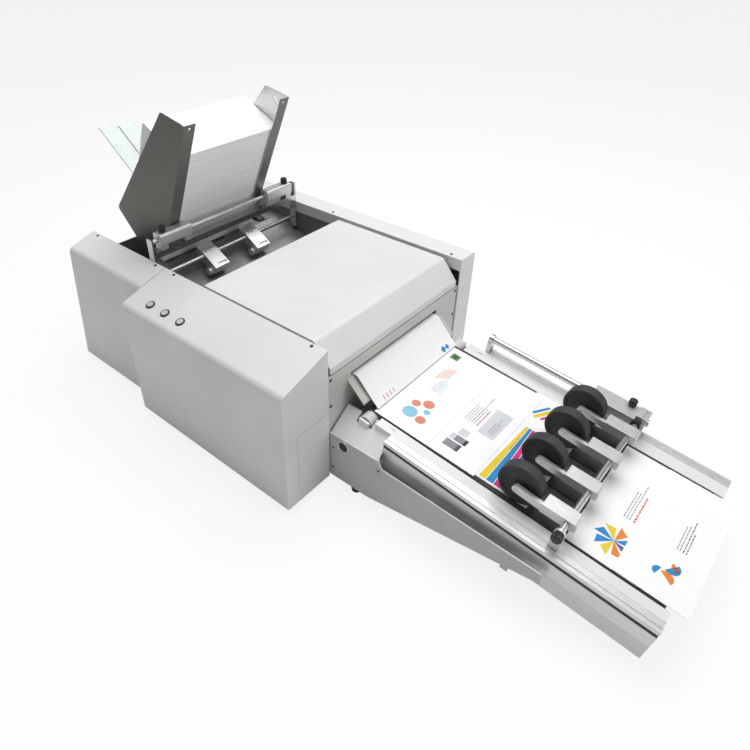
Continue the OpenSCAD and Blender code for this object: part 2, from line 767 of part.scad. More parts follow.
// Separators pivot on their shaft in front of the stack
module separator_shaft() {
    color("#c4c6c6") place() bar_along_y(sep_r, frame_y0, frame_y1 + sheet, -sep_back, top_z - sep_drop);
}
near_sep_y = 118;
far_sep_y = 234;
sep_z = top_z - sep_drop;
sep_len = 50;
sep_slope = 31;
sep_rise = 7.5;
sep_thick = 20;
sep_tail = 10;
sep_tip = 26;
sep_tip_low = 2;
sep_bevel = 3;
sep_slot_w = 5;
sep_slot_y = 11;
sep_hole_ys = [8, 18];
sep_hole_r = 1.6;
thumb_r = 8;
thumb_w = 9;
module separator(y) {
    translate([-sep_back, 0, sep_z]) rotate([0, sep_slope, 0]) difference() {
        union() {
            along_y(y, y + sep_w) polygon([
                [-sep_tail, sep_rise - sep_bevel], [sep_bevel - sep_tail, sep_rise], [sep_len - sep_tail,
                    sep_rise],
                [sep_len - sep_tail, sep_rise - sep_thick], [-sep_tail, sep_rise - sep_thick],
                [-sep_tip, sep_tip_low], [-sep_tip, sep_tip_low + sep_bevel]]);
            bar_along_y(thumb_r, y - thumb_w, y, sep_len - sep_tail - thumb_r,
                sep_rise - sep_thick + sep_bevel, small_fn);
        }
        bar_along_y(sep_r + fit, y - cut, y + sep_w + cut, 0, 0);
        block(sep_len - sep_tail - 2 * sep_slot_w, sep_len - sep_tail - sep_slot_w, y + sep_slot_y, y
            + sep_w - sep_bevel,
            sep_rise - sep_bevel, sep_rise + cut);
        for (off = sep_hole_ys) translate([-sep_bevel, y + off, sep_rise - sep_bevel])
            cylinder(r = sep_hole_r, h = sep_bevel + cut, $fn = 16);
    }
}
module near_separator() { color("#cfd0cf") place() separator(near_sep_y); }
module far_separator() { color("#cfd0cf") place() separator(far_sep_y); }

// Feed rollers on their shaft, with the pulley outside the near frame
pulley_w = 8;
pulley_gap = 3;
pulley_y1 = frame_y0 - pulley_gap;
module feed_rollers() {
    color("#2e2e2e") place() {
        difference() {
            union() {
                bar_along_y(feed_core_r, pulley_y1 - 2 * pulley_w, frame_y1 + sheet, feed_x, feed_axis_z);
                bar_along_y(feed_pulley_r, pulley_y1 - 2 * pulley_w, pulley_y1 - pulley_w, feed_x,
                    feed_axis_z);
                for (i = [0 : feed_count - 1])
                    bar_along_y(feed_r, feed_sleeve_y(i), feed_sleeve_y(i) + feed_sleeve_w, feed_x,
                        feed_axis_z);
            }
        }
    }
}
module exit_roller() {
    color("#3a3a3a") place() {
        bar_along_y(exit_core_r, pulley_y1 - pulley_w, frame_y1 + sheet, exit_x, exit_axis_z);
        bar_along_y(exit_r, env_y0, env_y1, exit_x, exit_axis_z);
        bar_along_y(feed_pulley_r, pulley_y1 - pulley_w, pulley_y1, exit_x, exit_axis_z);
    }
}

// Drive motor on the near frame, its double pulley and the two drive belts
motor_r = 28;
motor_l = 50;
loop_t = 2;
module drive_motor() {
    color("#4a4c4e") place() {
        difference() {
            union() {
                bar_along_y(motor_r, -frame_gap, -frame_gap + motor_l, motor_x, motor_z);
                bar_along_y(motor_boss_r - fit, frame_y0, -frame_gap, motor_x, motor_z);
            }
            bar_along_y(feed_core_r + fit, frame_y0 - cut, -frame_gap + motor_l / 2, motor_x, motor_z);
        }
    }
}
module motor_shaft() {
    color("#9b9d9e") place() {
        bar_along_y(feed_core_r, pulley_y1 - cut, -frame_gap + motor_l / 2 - seat, motor_x, motor_z);
        bar_along_y(feed_pulley_r, pulley_y1 - 2 * pulley_w, pulley_y1, motor_x, motor_z);
    }
}
module loop_2d(x0, z0, x1, z1, r) {
    run = norm([x1 - x0, z1 - z0]);
    turn = atan2(z1 - z0, x1 - x0);
    translate([x0, z0]) rotate(turn) {
        circle(r = r, $fn = round_fn);
        translate([run, 0]) circle(r = r, $fn = round_fn);
        translate([0, -r]) square([run, 2 * r]);
    }
}
module loop(y0, y1, x0, z0, x1, z1, r, t) {
    along_y(y0, y1) difference() {
        loop_2d(x0, z0, x1, z1, r + t);
        loop_2d(x0, z0, x1, z1, r);
    }
}
module drive_belts() {
    color("#1f1f1f") place() {
        loop(pulley_y1 - 2 * pulley_w + seat, pulley_y1 - pulley_w - seat, motor_x, motor_z, feed_x,
            feed_axis_z,
            feed_pulley_r + fit, loop_t);
        loop(pulley_y1 - pulley_w + seat, pulley_y1 - seat, motor_x, motor_z, exit_x, exit_axis_z,
            feed_pulley_r + fit, loop_t);
    }
}

// Platen and print head with its ink tanks
module platen() {
    color("#77797a") place() {
        block(-platen_back, -platen_front, -frame_gap, frame_y1, platen_z - platen_t, platen_z);
        block(-platen_back + platen_front, -2 * platen_front, -frame_gap, 0, platen_z - platen_rib, platen_z);
    }
}
platen_rib = 20;
head_beam_drop = 62;
head_beam_z = top_z - head_beam_drop;
head_wall_h = 30;
head_beam_t = 4;
head_back = 245;
head_front = 70;
head_x0 = -230;
head_x1 = -188;
head_lift = 2;
module print_head() {
    color("#55585a") place() {
        block(-head_back, -head_front, -frame_gap, frame_y1, head_beam_z - head_beam_t, head_beam_z);
        block(head_x0, head_x1, env_y0 - slot_side, env_y1 + slot_side, platen_z + head_lift,
            head_beam_z - head_beam_t);
        block(-head_back, -head_back + sheet, 0, well_w, head_beam_z, head_beam_z + head_wall_h);
    }
}
tank_count = 5;
tank_w = 62;
tank_pitch = 70;
tank_y0 = 20;
tank_x0 = -160;
tank_x1 = -80;
tank_h = 42;
module ink_tanks() {
    for (i = [0 : tank_count - 1]) color(["#2a2a2a", "#2a2a2a", "#2f8fc4", "#c2387a", "#d9c12e"][i]) place()
        block(tank_x0, tank_x1, tank_y0 + i * tank_pitch, tank_y0 + i * tank_pitch + tank_w,
            head_beam_z, head_beam_z + tank_h);
}

// Electronics on the chassis floor
board_x0 = -310;
board_x1 = -110;
board_y0 = 90;
board_y1 = 250;
board_lift = 8;
board_t = 1.6;
post_r = 3;
chip_x = 30;
chip_y = 40;
chip_w = 50;
chip_h = 12;
module main_board() {
    color("#2f6a45") place() {
        block(board_x0, board_x1, board_y0, board_y1, floor_z + board_lift, floor_z + board_lift + board_t);
        for (x = [board_x0 + 2 * post_r, board_x1 - 2 * post_r], y = [board_y0 + 2 * post_r,
            board_y1 - 2 * post_r])
            translate([x, y, floor_z]) cylinder(r = post_r, h = board_lift, $fn = small_fn);
        block(board_x0 + chip_x, board_x0 + chip_x + chip_w, board_y0 + chip_y, board_y0 + chip_y + chip_w,
            floor_z + board_lift + board_t, floor_z + board_lift + board_t + chip_h);
    }
}
supply_in = 40;
supply_l = 160;
supply_x0 = -chassis_back + supply_in;
supply_x1 = supply_x0 + supply_l;
supply_y0 = 200;
supply_y1 = 310;
supply_h = 45;
module power_supply() {
    color("#b8babb") place() block(supply_x0, supply_x1, supply_y0, supply_y1, floor_z, floor_z + supply_h);
}

// Mains inlet and rocker switch in one housing on the rear plate
inlet_y0 = 300;
inlet_w = 52;
inlet_y1 = inlet_y0 + inlet_w;
inlet_up = 33;
inlet_h = 32;
inlet_z0 = floor_z + inlet_up;
inlet_z1 = inlet_z0 + inlet_h;
inlet_rim = 3;
inlet_rim_t = 2;
inlet_depth = 26;
socket_w = 24;
socket_h = 17;
socket_d = 17;
rocker_w = 12;
rocker_h = 20;
rocker_in = 13;
rocker_y = inlet_y0 + rocker_in;
socket_in = 17;
socket_y = inlet_y1 - socket_in;
rocker_well = 12;
pin_out = 2;
inlet_mid_z = (inlet_z0 + inlet_z1) / 2;
module power_inlet() {
    color("#1e1e1e") place() difference() {
        union() {
            block(-chassis_back - inlet_rim_t, -chassis_back, inlet_y0, inlet_y1, inlet_z0, inlet_z1);
            block(-chassis_back, -chassis_back + inlet_depth, inlet_y0 + inlet_rim, inlet_y1 - inlet_rim,
                inlet_z0 + inlet_rim, inlet_z1 - inlet_rim);
        }
        block(-chassis_back - inlet_rim_t - cut, -chassis_back + socket_d, socket_y - socket_w / 2,
            socket_y + socket_w / 2, inlet_mid_z - socket_h / 2, inlet_mid_z + socket_h / 2);
        block(-chassis_back - inlet_rim_t - cut, -chassis_back + rocker_well, rocker_y - rocker_w / 2,
            rocker_y + rocker_w / 2, inlet_mid_z - rocker_h / 2, inlet_mid_z + rocker_h / 2);
        bar_along_y(rocker_pin_r + fit, rocker_y - rocker_w / 2 - pin_out, rocker_y + rocker_w / 2
            + pin_out, rocker_x,
            inlet_mid_z, small_fn);
    }
}
rocker_x = -chassis_back;
rocker_half = 8;
rocker_pin_r = 1.5;
rocker_out = 3;
rocker_flush = 0.6;
rocker_back = 1;
module power_switch() {
    color("#303030") place() {
        along_y(rocker_y - rocker_w / 2 + seat, rocker_y + rocker_w / 2 - seat) polygon([
            [-chassis_back - inlet_rim_t + rocker_flush, inlet_mid_z + rocker_half],
            [-chassis_back - inlet_rim_t - rocker_out, inlet_mid_z - rocker_half],
            [-chassis_back + rocker_back, inlet_mid_z - rocker_half],
            [rocker_x + rocker_out, inlet_mid_z],
            [-chassis_back + rocker_back, inlet_mid_z + rocker_half]]);
        bar_along_y(rocker_pin_r, rocker_y - rocker_w / 2 - pin_out + seat, rocker_y + rocker_w / 2
            + pin_out - seat,
            rocker_x, inlet_mid_z, small_fn);
    }
}

// Top cover: flat, folded over a slanted front, with hinge ears
fold_r = 12;
module lid_shell(t) {
    fold_a = atan2(lid_slant_h, lid_fold - lid_front);
    polygon(concat(
        [[-lid_l + t, lid_top - t]],
        arc(-lid_fold - fold_r * tan(fold_a / 2), lid_top - fold_r, fold_r - t, 90, 90 - fold_a, 6),
        [[-lid_front - t, lid_top - lid_slant_h - t * tan(fold_a / 2)],
         [-lid_front - t, lid_top - lid_slant_h - lid_lip - (t > 0 ? cut : 0)],
         [-lid_front - wall - (t > 0 ? cut : 0), lid_top - lid_slant_h - lid_lip - (t > 0 ? cut : 0)]],
        [[-lid_fold - lid_nose, lid_top - lid_side - (t > 0 ? cut : 0)],
         [-lid_l + t, lid_top - lid_side - (t > 0 ? cut : 0)]]));
}
lid_side = 14;
lid_nose = 20;
ear_flare = 4;
module top_cover() {
    color("#dadad9") place() difference() {
        union() {
            difference() {
                along_y(lid_y0, lid_y1) lid_shell(0);
                along_y(lid_y0 + wall, lid_y1 - wall) lid_shell(wall);
            }
            for (y = [lid_y0, lid_y1 - ear_w]) along_y(y, y + ear_w) polygon([
                [hinge_x - ear_d / 2, hinge_z - ear_d / 2], [hinge_x + ear_d / 2, hinge_z - ear_d / 2],
                [hinge_x + ear_d / 2 + ear_flare, lid_top - wall], [hinge_x - ear_d / 2, lid_top - wall]]);
            bar_along_y(hinge_r, frame_y0, lid_y0 + cut, hinge_x, hinge_z);
            bar_along_y(hinge_r, lid_y1 - cut, frame_y1 + sheet, hinge_x, hinge_z);
        }
    }
}

// Push buttons under the control cover, each with a collar that keeps it in
button_out = 1.8;
collar_t = 1.4;
collar_w = 1.6;
button_in = 4;
button_len = button_in + button_travel;
module push_button(i) {
    color("#d8d9da") place() at_button(i) {
        translate([0, 0, -wall - button_len]) cylinder(r = button_r, h = wall + button_len + rim_h
            + button_out, $fn = round_fn);
        translate([0, 0, -wall - collar_t - seat]) cylinder(r = button_r + collar_w, h = collar_t,
            $fn = round_fn);
    }
}
module button_1() { push_button(0); }
module button_2() { push_button(1); }
module button_3() { push_button(2); }

// Media: the loaded stack and the printed envelopes on the conveyor
module envelope_stack() {
    foot_x = stack_foot_x;
    color("#f4f4f4") place() along_y(guide_y0 + guide_gap, guide_y1 - guide_gap) polygon([
        [foot_x, stack_foot_z],
        [foot_x + stack_h * sin(guide_lean), stack_foot_z + stack_h * cos(guide_lean)],
        [foot_x + stack_h * sin(guide_lean) - env_w * cos(stack_slope),
         stack_foot_z + stack_h * cos(guide_lean) + env_w * sin(stack_slope)],
        [foot_x - env_w * cos(stack_slope), stack_foot_z + env_w * sin(stack_slope)]]);
}
sheet_tilt = 0.6;
lead_ss = [154, 242, 330];
sheet_shifts = [-6, -5, 0];
end_shift = -5;
module printed_envelopes() {
    color("#fbfbfb") place() {
        along_y(env_y0, env_y1) polygon(chute_sheet());
        on_conveyor() {
            for (i = [0 : len(lead_ss) - 1]) translate([lead_ss[i] - env_w, sheet_shifts[i], seat])
                rotate([0, -sheet_tilt, 0]) block(0, env_w, env_y0, env_y1, 0, env_t);
            translate([fifth_lead_s - env_w, end_shift, seat]) block(0, env_w, env_y0, env_y1, 0, env_t);
            translate([last_lead_s - env_w, end_shift, last_w]) block(0, env_w, env_y0, env_y1, 0, env_t);
        }
    }
}
fifth_in = 49;
fifth_lead_s = conv_l - fifth_in;
// The envelope leaving the slot: flat, down the chute and onto the next one
sheet_z = slot_bottom + seat;
land_s = 52;
land_w = 3;
sheet_back = 35;
sheet_bend = 2;
sheet_dip = 1.6;
chute_pass = 3;
chute_lift = 4.5;
function chute_sheet() = let (
        land = [land_s * cos(decline) + land_w * sin(decline), deck_z - land_s * sin(decline)
            + land_w * cos(decline)],
        path = [[-sheet_back, sheet_z], [sheet_bend, sheet_z], [sheet_bend + chute_slope,
            sheet_z - sheet_dip],
            [chute_l + chute_pass, slot_bottom - chute_fall + chute_lift], land]
    ) concat(path, [for (i = [len(path) - 1 : -1 : 0]) path[i] + [env_t / 2, env_t]]);
chute_slope = 5;

// Conveyor chassis: bed, side walls with top strips, rail ledges, side panels and legs
conv_leg_y0 = inner_y0;
conv_leg_y1 = inner_y1;
roll_core_r = 5;
wall_clear = 6;
wall_s0 = drive_s + roll_r + wall_clear;
wall_s1 = idler_s - roll_r - wall_clear;
bed_gap = 0.6;
strip_sink = 0.5;
cross_in = 120;
ledge_h = 30;
leg_flare = 10;
panel_step = 15;
panel_step_l = 10;
panel_fall = 15;
panel_tip = 20;
panel_l = 390;
panel_flat = 82;
slope_in = 47;
slope_rise = 34;
hatch_x0 = 30;
hatch_x1 = 62;
hatch_y0 = 32;
bearing_y = 30;
bearing_t = 4;
bearing_floor = 1;
bearing_half = 10;
panel_top = top_z - bracket_drop;
function panel_side() = [
    [seat - wall, foot_h], [panel_flat, foot_h], [panel_l, panel_top - panel_step - panel_fall - panel_tip],
    [panel_l, panel_top - panel_step - panel_fall], [bracket_l + panel_step_l, panel_top - panel_step],
    [bracket_l, panel_top], [seat - wall, panel_top]];
// Two posts hold each outer panel to the ledge plate behind it
post_ss = [200, 340];
post_w = 12;
module conveyor_half(y_out, y_rail, y_in, strip, side) {
    dy = chassis_t * side;
    on_conveyor() {
        slab(drive_s - bearing_half, drive_s + bearing_half, y_out + side * bearing_y,
            y_out + side * (bearing_y + bearing_t), roll_w_axis - bearing_half, roll_w_axis + bearing_half);
        slab(wall_s0, conv_l, y_in, y_in + dy, -skirt_h, 0);
        slab(wall_s0, conv_l, y_in, y_in + strip * side, -chassis_t + strip_sink, 0);
        slab(rail_s0 - rail_gap, conv_l, y_rail + side * seat, y_in + dy / 2, -rail_h - seat - chassis_t,
            -rail_h - seat);
        slab(rail_s0 - rail_gap, conv_l, y_rail + side * seat, y_rail + side * seat + dy, -rail_h - ledge_h,
            -rail_h - seat);
        for (s = post_ss) slab(s, s + post_w, y_out + dy / 2, y_rail + side * seat + dy / 2,
            -rail_h - ledge_h, -rail_h - ledge_h + post_w);
    }
    along_y(min(y_out, y_out + dy), max(y_out, y_out + dy)) polygon(panel_side());
    along_y(min(y_out, y_in) + dy / 2, max(y_out, y_in) + dy / 2) polygon([
        [bracket_l - chassis_t, foot_h], [bracket_l, foot_h],
        [bracket_l, deck_line(bracket_l, -rail_h - seat - chassis_t / 2)],
        [bracket_l - chassis_t, deck_line(bracket_l, -rail_h - seat - chassis_t / 2)]]);
    difference() {
        along_x(seat, bracket_l) polygon([
            [y_out + dy / 2, panel_top - seat], [y_out + side * slope_in, panel_top + slope_rise],
            [y_out + side * slope_in, panel_top + slope_rise - chassis_t],
            [y_out + dy / 2, panel_top - seat - chassis_t]]);
        slab(hatch_x0, hatch_x1, y_out + side * hatch_y0, y_out + side * (slope_in + cut),
            panel_top - chassis_t - cut, panel_top + slope_rise + cut);
        on_conveyor() slab(rail_s0 - seat, conv_l, y_rail - side * seat, y_out + side * (slope_in + cut),
            -rail_h - seat, rail_h);
    }
    slab(conv_foot_xs[0] - leg_w / 2, conv_foot_xs[0] + leg_w / 2, y_out, y_out + side * 2 * conv_foot_in,
        foot_h, foot_h + chassis_t);
    slab(leg_s, leg_s + leg_w, y_in, y_in + side * 2 * conv_foot_in, foot_h, foot_h + chassis_t);
    along_y(min(y_in, y_in + dy), max(y_in, y_in + dy)) polygon([
        [leg_s, foot_h], [leg_s + leg_w, foot_h],
        [leg_s + leg_w + leg_flare, deck_line(leg_s + leg_w, leg_flare - skirt_h)],
        [leg_s - leg_flare, deck_line(leg_s, leg_flare - skirt_h)]]);
}
module slab(x0, x1, ya, yb, z0, z1) { block(x0, x1, min(ya, yb), max(ya, yb), z0, z1); }
function deck_line(x, w) = deck_z - x * tan(decline) + w / cos(decline);
module conveyor_chassis() {
    color("#dcdddc") place() difference() {
        union() {
            on_conveyor() {
                block(wall_s0, wall_s1, inner_y0, inner_y1, -belt_t - bed_gap - chassis_t, -belt_t - bed_gap);
                for (s = [wall_s0 + chassis_t, conv_l - cross_in])
                    block(s, s + chassis_t, inner_y0, inner_y1, -skirt_h, -belt_t - 2 * roll_r - 4 * belt_t);
            }
            conveyor_half(bracket_y0, conv_y0, inner_y0, strip_w, 1);
            conveyor_half(bracket_y1, conv_y1, inner_y1, far_strip_w, -1);
        }
        on_conveyor() {
            bar_along_y(roll_core_r + fit, bracket_y0 + bearing_y + bearing_floor,
                bracket_y1 - bearing_y - bearing_floor, drive_s,
                roll_w_axis);
            bar_along_y(roll_core_r + fit, inner_y0 - cut, inner_y1 + cut, idler_s, roll_w_axis);
        }
    }
}

// Side rails: extrusions with a groove in the outer face and a line along the top
groove_mouth = 6;
groove_d = 5;
groove_wide = 11;
groove_neck = 2;
line_y = 7;
line_w = 1.5;
module rail(y_out, side) {
    on_conveyor() along_x(rail_s0, conv_l) difference() {
        polygon([[y_out, 0], [y_out + side * rail_w, 0], [y_out + side * rail_w, -rail_h], [y_out, -rail_h]]);
        polygon([
            [y_out - side * cut, groove_mouth / 2 - rail_h / 4], [y_out + side * groove_neck,
                groove_mouth / 2 - rail_h / 4],
            [y_out + side * groove_neck, groove_wide / 2 - rail_h / 4], [y_out + side * groove_d,
                groove_mouth / 2 - rail_h / 4],
            [y_out + side * groove_d, -groove_mouth / 2 - rail_h / 4], [y_out + side * groove_neck,
                -groove_wide / 2 - rail_h / 4],
            [y_out + side * groove_neck, -groove_mouth / 2 - rail_h / 4],
            [y_out - side * cut, -groove_mouth / 2 - rail_h / 4]]);
        polygon([
            [y_out + side * line_y, cut], [y_out + side * (line_y + line_w), cut],
            [y_out + side * (line_y + line_w), -line_w], [y_out + side * line_y, -line_w]]);
    }
}
module near_rail() { color("#dfe1df") place() rail(conv_y0, 1); }
module far_rail() { color("#dfe1df") place() rail(conv_y1, -1); }

drive_in = 36;
module belt_roller(s, y0, y1, out0, out1) {
    on_conveyor() {
        bar_along_y(roll_r, y0, y1, s, roll_w_axis);
        bar_along_y(roll_core_r, out0, out1, s, roll_w_axis);
    }
}
module conveyor_drive_roller() {
    color("#c7cacb") place() belt_roller(drive_s, bracket_y0 + drive_in, bracket_y1 - drive_in,
        bracket_y0 + bearing_y + bearing_floor + seat, bracket_y1 - bearing_y - bearing_floor - seat);
}
module conveyor_idler_roller() {
    color("#c7cacb") place() belt_roller(idler_s, inner_y0 + strip_w + seat, inner_y1 - far_strip_w - seat,
        inner_y0, inner_y1);
}
module conveyor_belts() {
    color("#3a3a3a") place() on_conveyor() for (y = arm_ys)
        loop(y + belt_in, y + belt_in + belt_w, drive_s, roll_w_axis, idler_s, roll_w_axis, roll_r + fit,
            belt_t);
}

// Side bar on the far rail, with a rounded loop as its end bracket
bracket_t = 8;
bracket_over = 4;
bracket_in = 3;
loop_slot_w = 7;
loop_slot_h = 9;
module side_bar() {
    color("#d3d5d5") place() on_conveyor() {
        bar_along_s(bar_r, bar_s0 - bracket_t, bar_s1, bar_y, bar_w);
        difference() {
            along_x(bar_s0 - bracket_t, bar_s0) hull() {
                translate([bar_y - bar_r - bracket_in, 0]) square([2 * (bar_r + bracket_in), bracket_over]);
                translate([bar_y, bar_w]) circle(r = bar_r + bracket_in, $fn = small_fn);
            }
            block(bar_s0 - bracket_t - cut, bar_s0 + cut, bar_y - loop_slot_w / 2, bar_y + loop_slot_w / 2,
                bracket_over, bracket_over + loop_slot_h);
        }
    }
}
module bar_along_s(r, s0, s1, y, w) {
    translate([s0, y, w]) rotate([0, 90, 0]) cylinder(r = r, h = s1 - s0, $fn = round_fn);
}

// Wheel carriage: the cross shaft stands in a slim near plate and in the far clamp
shaft_start = 13.3;
near_plate_y = 13.8;
near_plate_t = 5;
near_plate_half = 8;
cross_y0 = rail_y + shaft_start;
end_knob_r = 8;
far_clamp_l = 96;
far_clamp_s0 = 304;
far_clamp_s1 = far_clamp_s0 + far_clamp_l;
far_clamp_half = 18;
far_clamp_y0 = bar_y - far_clamp_half;
far_clamp_yy = bar_y + far_clamp_half;
far_clamp_w = 36;
far_clamp_under = 14;
far_clamp_low = bar_w - far_clamp_under;
far_step_s = 18;
far_step_in = 4;
far_step_up = 6;
far_step_slot = 8;
far_shoe_in = 8;
far_shoe_out = 26;
shaft_end_gap = 2.3;
shaft_in = far_clamp_half - bar_r - shaft_end_gap;
shaft_collar_r = 8;
shaft_collar_w = 9;
shaft_collar_gap = 3;
module carriage_shaft() {
    color("#cfd1d1") place() on_conveyor() difference() {
        union() {
            bar_along_y(cross_r, cross_y0, far_clamp_y0 + shaft_in, cross_s, cross_w);
            bar_along_y(shaft_collar_r, far_clamp_y0 - shaft_collar_gap - shaft_collar_w,
                far_clamp_y0 - shaft_collar_gap, cross_s, cross_w,
                small_fn);
        }
        bar_along_y(knob_stem_r + fit, cross_y0 - cut, cross_y0 + knob_stem_l, cross_s, cross_w, small_fn);
    }
}
module near_carriage_clamp() {
    color("#c4c6c6") place() on_conveyor() difference() {
        along_y(rail_y + near_plate_y, rail_y + near_plate_y + near_plate_t) hull() {
            translate([cross_s - near_plate_half, seat]) square([2 * near_plate_half, near_plate_half]);
            translate([cross_s, cross_w]) circle(r = near_plate_half, $fn = small_fn);
        }
        bar_along_y(cross_r, conv_y0 - cut, inner_y0 + cut, cross_s, cross_w);
    }
}
module far_carriage_clamp() {
    color("#d6d8d8") place() on_conveyor() difference() {
        union() {
            block(far_clamp_s0, far_clamp_s1 - far_step_s, far_clamp_y0, far_clamp_yy, far_clamp_low,
                far_clamp_w);
            block(far_clamp_s1 - far_step_s - cut, far_clamp_s1, far_clamp_y0 + far_step_in,
                far_clamp_yy - far_step_in, far_clamp_low, far_clamp_w + far_step_up);
            block(far_clamp_s0 + far_shoe_in, far_clamp_s1 - far_shoe_out, conv_y1 - rail_w + cut,
                conv_y1 - cut, seat,
                far_clamp_low);
        }
        bar_along_s(bar_r + fit, far_clamp_s0 - cut, far_clamp_s1 + cut, bar_y, bar_w);
        bar_along_y(cross_r, far_clamp_y0 - cut, far_clamp_y0 + shaft_in, cross_s, cross_w);
        block(far_clamp_s1 - far_step_slot, far_clamp_s1 - far_step_slot / 2, far_clamp_y0 + 2 * far_step_in,
            far_clamp_yy - 2 * far_step_in, far_clamp_w + far_step_up / 2, far_clamp_w + far_step_up + cut);
        translate([far_knob_s, far_knob_yy, far_clamp_w - knob_stem_l])
            cylinder(r = knob_stem_r + fit, h = knob_stem_l + cut, $fn = small_fn);
    }
}
far_knob_in = 62;
far_knob_out = 12;
far_knob_s = far_clamp_s0 + far_knob_in;
far_knob_yy = bar_y + far_knob_out;
module near_carriage_knob() {
    color("#222222") place() on_conveyor() translate([cross_s, cross_y0, cross_w]) rotate([90, 0, 0])
        knob(end_knob_r, knob_h);
}
module far_carriage_knob() {
    color("#222222") place() on_conveyor() translate([far_knob_s, far_knob_yy, far_clamp_w]) knob(knob_r,
        knob_h);
}

// Arms hinge on the cross shaft and carry the kick wheels
arm_half = 8;
arm_low = cross_w - arm_half;
arm_high = cross_w + arm_half;
arm_clear = 6;
arm_tail = 14;
arm_round = 4;
arm_s0 = wheel_s + wheel_r + arm_clear;
arm_s1 = cross_s + arm_tail;
tine_h = 13;
module arm(i) {
    y = arm_ys[i];
    color("#d5d8d4") place() on_conveyor() difference() {
        union() {
            along_y(y, y + arm_w) polygon(concat(
                [[arm_s0, arm_low]],
                arc(arm_s1 - arm_round, arm_low + arm_round, arm_round, -90, 0, 6),
                arc(arm_s1 - arm_round, arm_high - arm_round, arm_round, 0, 90, 6),
                [[arm_s0, arm_high]]));
            along_y(y, y + arm_t) polygon([
                [wheel_s, wheel_w_axis + tine_h / 2], [arm_s0 + cut, cross_w + tine_h / 2],
                [arm_s0 + cut, cross_w - tine_h / 2], [wheel_s, wheel_w_axis - tine_h / 2]]);
            bar_along_y(tine_h / 2, y, y + arm_t, wheel_s, wheel_w_axis);
        }
        bar_along_y(cross_r + fit, y - cut, y + arm_w + cut, cross_s, cross_w);
        bar_along_y(axle_r + fit, y - cut, y + arm_t + cut, wheel_s, wheel_w_axis);
    }
}
module wheel(i) {
    y = arm_ys[i] + arm_t + arm_gap;
    color("#35383a") place() on_conveyor() {
        bar_along_y(wheel_r, y, y + wheel_w, wheel_s, wheel_w_axis);
        bar_along_y(axle_r, y - arm_gap - arm_t, y + cut, wheel_s, wheel_w_axis);
    }
}
module arm_1() { arm(0); }
module arm_2() { arm(1); }
module arm_3() { arm(2); }
module arm_4() { arm(3); }
module wheel_1() { wheel(0); }
module wheel_2() { wheel(1); }
module wheel_3() { wheel(2); }
module wheel_4() { wheel(3); }

base_chassis();
rubber_feet();
near_side_frame();
far_side_frame();
near_rear_cover();
control_cover();
far_side_cover();
output_end_plate();
exit_chute();
feed_deck();
guide_bar();
motor_shaft();
separator_shaft();
platen();
print_head();
ink_tanks();
main_board();
power_supply();
drive_motor();
drive_belts();
power_inlet();
cover_screws();
envelope_stack();
printed_envelopes();
conveyor_chassis();
near_rail();
far_rail();
side_bar();
conveyor_belts();
rear_ramp();
top_cover();
near_guide_clamp();
far_guide_clamp();
near_guide_plate();
far_guide_plate();
near_guide_knob();
far_guide_knob();
near_separator();
far_separator();
feed_rollers();
exit_roller();
power_switch();
button_1();
button_2();
button_3();
conveyor_drive_roller();
conveyor_idler_roller();
carriage_shaft();
near_carriage_clamp();
far_carriage_clamp();
near_carriage_knob();
far_carriage_knob();
arm_1();
arm_2();
arm_3();
arm_4();
wheel_1();
wheel_2();
wheel_3();
wheel_4();
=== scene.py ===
"""Tabletop envelope printer: the finished surfaces, papers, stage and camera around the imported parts."""

import json
import math

import bmesh
import bpy
import numpy as np
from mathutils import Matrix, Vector

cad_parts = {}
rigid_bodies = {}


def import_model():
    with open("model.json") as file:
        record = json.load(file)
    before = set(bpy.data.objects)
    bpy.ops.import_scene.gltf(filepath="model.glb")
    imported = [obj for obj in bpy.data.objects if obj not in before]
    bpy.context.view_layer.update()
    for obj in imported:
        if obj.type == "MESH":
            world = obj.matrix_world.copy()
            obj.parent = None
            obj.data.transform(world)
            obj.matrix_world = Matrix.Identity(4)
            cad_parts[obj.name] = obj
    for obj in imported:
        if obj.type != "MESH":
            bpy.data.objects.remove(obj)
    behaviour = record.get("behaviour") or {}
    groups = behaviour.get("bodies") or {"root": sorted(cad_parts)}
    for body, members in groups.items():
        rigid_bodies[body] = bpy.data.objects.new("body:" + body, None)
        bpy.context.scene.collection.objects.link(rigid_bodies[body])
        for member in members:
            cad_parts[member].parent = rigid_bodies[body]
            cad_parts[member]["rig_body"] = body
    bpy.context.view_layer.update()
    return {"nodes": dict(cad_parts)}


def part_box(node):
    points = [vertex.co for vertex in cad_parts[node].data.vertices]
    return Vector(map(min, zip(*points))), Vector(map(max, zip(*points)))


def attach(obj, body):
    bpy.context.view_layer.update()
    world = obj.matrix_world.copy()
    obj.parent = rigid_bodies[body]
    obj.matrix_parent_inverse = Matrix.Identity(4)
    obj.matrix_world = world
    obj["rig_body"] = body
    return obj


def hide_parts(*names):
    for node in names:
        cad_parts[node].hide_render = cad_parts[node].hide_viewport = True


bl_info = {
    "name": "Envelope Printer Finishes",
    "version": (1, 0, 0),
    "blender": (4, 5, 0),
    "location": "View3D > Sidebar > Printer",
    "description": "Dresses the envelope printer's parts with rounded edges, papers, rubber, metal and paint",
    "category": "Object",
}

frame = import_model()
MM = 0.001

# The machine's own zero: x at the output end face, y at the inner edge of the near covers, z on the desk
ORIGIN = np.array([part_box("control_cover")[1].x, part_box("near_rear_cover")[1].y, 0.0])
# The conveyor's zero plane at the output end face, in metres, and how far it slopes
DECK_Z = 0.157
SLOPE = math.radians(7.0)
